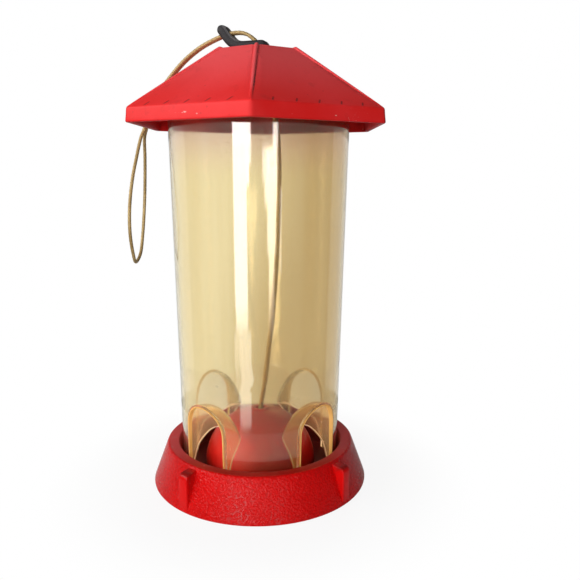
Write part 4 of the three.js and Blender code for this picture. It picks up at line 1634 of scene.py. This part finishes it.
def stage_piece(name, mesh, finish):
    """A piece of the stage, with the nodes of its empty material."""
    material = bpy.data.materials.new(finish)
    material.use_nodes = True
    material.node_tree.nodes.clear()
    mesh.materials.append(material)
    return new_object(name, mesh), Nodes(material.node_tree)


def add_floor():
    """A pale round floor that goes to white at its edge and keeps the feeder's shadow."""
    mesh = bpy.data.meshes.new("floor")
    build = bmesh.new()
    bmesh.ops.create_circle(build, cap_ends=True, radius=FLOOR_RADIUS * MM, segments=96)
    build.to_mesh(mesh)
    build.free()
    floor, nodes = stage_piece("floor", mesh, "pale_floor")
    place = nodes.add("ShaderNodeTexCoord").outputs["Object"]
    radius = nodes.vector("LENGTH", place)["Value"]
    rim = nodes.span(radius, 0.5 * FLOOR_RADIUS * MM, 0.97 * FLOOR_RADIUS * MM, 0.9, 1.0)
    seen = nodes.times(seen_rays(nodes, ROOM_GLOSS), rim)
    pale = nodes.add("ShaderNodeBsdfDiffuse", {"Color": (0.86, 0.86, 0.86, 1)}).outputs[0]
    white = nodes.add("ShaderNodeEmission", {"Strength": 1.0}).outputs[0]
    mixed = nodes.add("ShaderNodeMixShader", {0: seen, 1: pale, 2: white}).outputs[0]
    nodes.add("ShaderNodeOutputMaterial", {"Surface": mixed})


def seen_rays(nodes, gloss):
    """1 for what the camera sees straight or through clear plastic, a share in gloss, and 0 for light on the
    object."""
    path = nodes.add("ShaderNodeLightPath").outputs
    seen = nodes.math("MAXIMUM", path["Is Camera Ray"], nodes.times(path["Is Glossy Ray"], gloss))
    seen = nodes.math("MAXIMUM", seen, path["Is Transmission Ray"])
    return nodes.times(seen, nodes.math("LESS_THAN", path["Diffuse Depth"], 0.5))


def add_world():
    """White to the eye, and a dim room to the light and the gloss."""
    world = bpy.data.worlds.new("white_studio")
    bpy.context.scene.world = world
    world.use_nodes = True
    nodes = Nodes(world.node_tree)
    strength = nodes.math("MULTIPLY_ADD", seen_rays(nodes, ROOM_GLOSS), 1 - AMBIENT, AMBIENT)
    nodes.tree.nodes["Background"].inputs["Color"].default_value = (1, 1, 1, 1)
    nodes.feed(nodes.tree.nodes["Background"].inputs["Strength"], strength)


def add_backdrop(steps=40):
    """A curved white wall behind the feeder, which the sides of the clear tube mirror."""
    points = []
    for k in range(steps + 1):
        out = bearing(CAMERA_BEARING + 180 + BACKDROP_SWEEP * (k / steps - 0.5)) * BACKDROP_REACH
        points += [out + Vector((0, 0, z)) for z in (BACKDROP_LOW, BACKDROP_HIGH)]
    mesh = bpy.data.meshes.new("backdrop")
    mesh.from_pydata([p * MM for p in points], [], grid_faces(steps + 1, 2))
    backdrop, nodes = stage_piece("backdrop", mesh, "white_backdrop")
    strength = nodes.math("MULTIPLY_ADD", seen_rays(nodes, WALL_GLOSS), 1 - AMBIENT, AMBIENT)
    white = nodes.add("ShaderNodeEmission", {"Strength": strength}).outputs[0]
    nodes.add("ShaderNodeOutputMaterial", {"Surface": white})


def add_window(name, left, right, low, high, brightness):
    """An upright pane of soft light, given by its bearings from the camera's and by its heights."""
    middle = CAMERA_BEARING + (left + right) / 2
    width = 2 * WINDOW_REACH * math.tan(math.radians((right - left) / 2)) * MM
    out = bearing(middle)
    place = placing(out * WINDOW_REACH + UP * (low + high) / 2, bearing(middle + 90), UP, out)
    add_panel(name, width, (high - low) * MM, brightness, place)


def add_panel(name, width, height, brightness, place):
    data = bpy.data.lights.new(name, "AREA")
    data.shape = "RECTANGLE"
    data.size = width
    data.size_y = height
    data.energy = brightness * math.pi * width * height
    lamp = new_object(name, data)
    lamp.matrix_world = place
    return lamp


def add_fading_window(name, left, right, top, top_brightness, foot, foot_brightness):
    """A window whose light dies away downwards, in parts."""
    for k in range(WINDOW_PARTS):
        high = top + (foot - top) * k / WINDOW_PARTS
        low = top + (foot - top) * (k + 1) / WINDOW_PARTS
        brightness = top_brightness + (foot_brightness - top_brightness) * (k + 0.5) / WINDOW_PARTS
        add_window(f"{name}_{k + 1}", left, right, low, high, brightness)


def aimed(reach, bearing_off, height, at):
    """A place off to one side of the camera, turned to face a point on the axis."""
    place = bearing(CAMERA_BEARING + bearing_off) * reach + UP * height
    back = (place - UP * at).normalized()
    across = UP.cross(back).normalized()
    return placing(place, across, back.cross(across), back)


def add_lights():
    """Two windows that the clear tube mirrors, a tall one to their left, a skylight and a light behind."""
    add_window("left_window_head", -32, -10, 205, 370, 12.0)
    add_window("left_window_top", -32, -10, 150, 205, 7.6)
    add_window("left_window_upper", -32, -12.5, 105, 150, 7.6)
    add_window("left_window", -32, -15.5, -190, 105, 7.4)
    add_fading_window("left_window_low", -31, -15.5, -190, 7.2, -245, 3.6)
    add_window("left_window_foot", -27, -11.5, -490, -245, 3.2)
    add_fading_window("left_window_side", -34, -27, -245, 2.4, -420, 0.6)
    add_window("right_window_top", 16, 22, 187, 370, 9.0)
    add_window("right_window", 3.5, 22, 110, 187, 5.6)
    add_window("right_window_middle", 6, 21.5, 60, 110, 5.6)
    add_window("right_window_lower", 9.5, 20.5, -54, 60, 5.6)
    add_fading_window("right_window_low", 11.5, 18.5, -54, 5.2, -245, 0.9)
    add_window("right_window_edge", 25, 27.5, -100, 100, 2.6)
    add_window("side_window", -100, -45, 480, 1100, 5.6)
    add_panel("skylight", 0.16, 0.16, 12.0, aimed(620, -14, 900, 20))
    back_fill = add_panel("back_fill", 0.5, 0.5, 5.0, aimed(1100, 170, 760, 110))
    back_fill.visible_glossy = False


add_camera()
add_cable(cable_finish())
add_tray(tray_finish())
add_dome(dome_finish())
add_tube(clear_finish(), hood_finish(), cut_edge_finish())
add_roof(roof_finish())
add_keeper(keeper_finish())
zinc = zinc_finish()
add_washer(zinc)
add_ferrule(zinc)
add_floor()
add_backdrop()
add_world()
add_lights()
bpy.context.scene.view_settings.view_transform = "Standard"
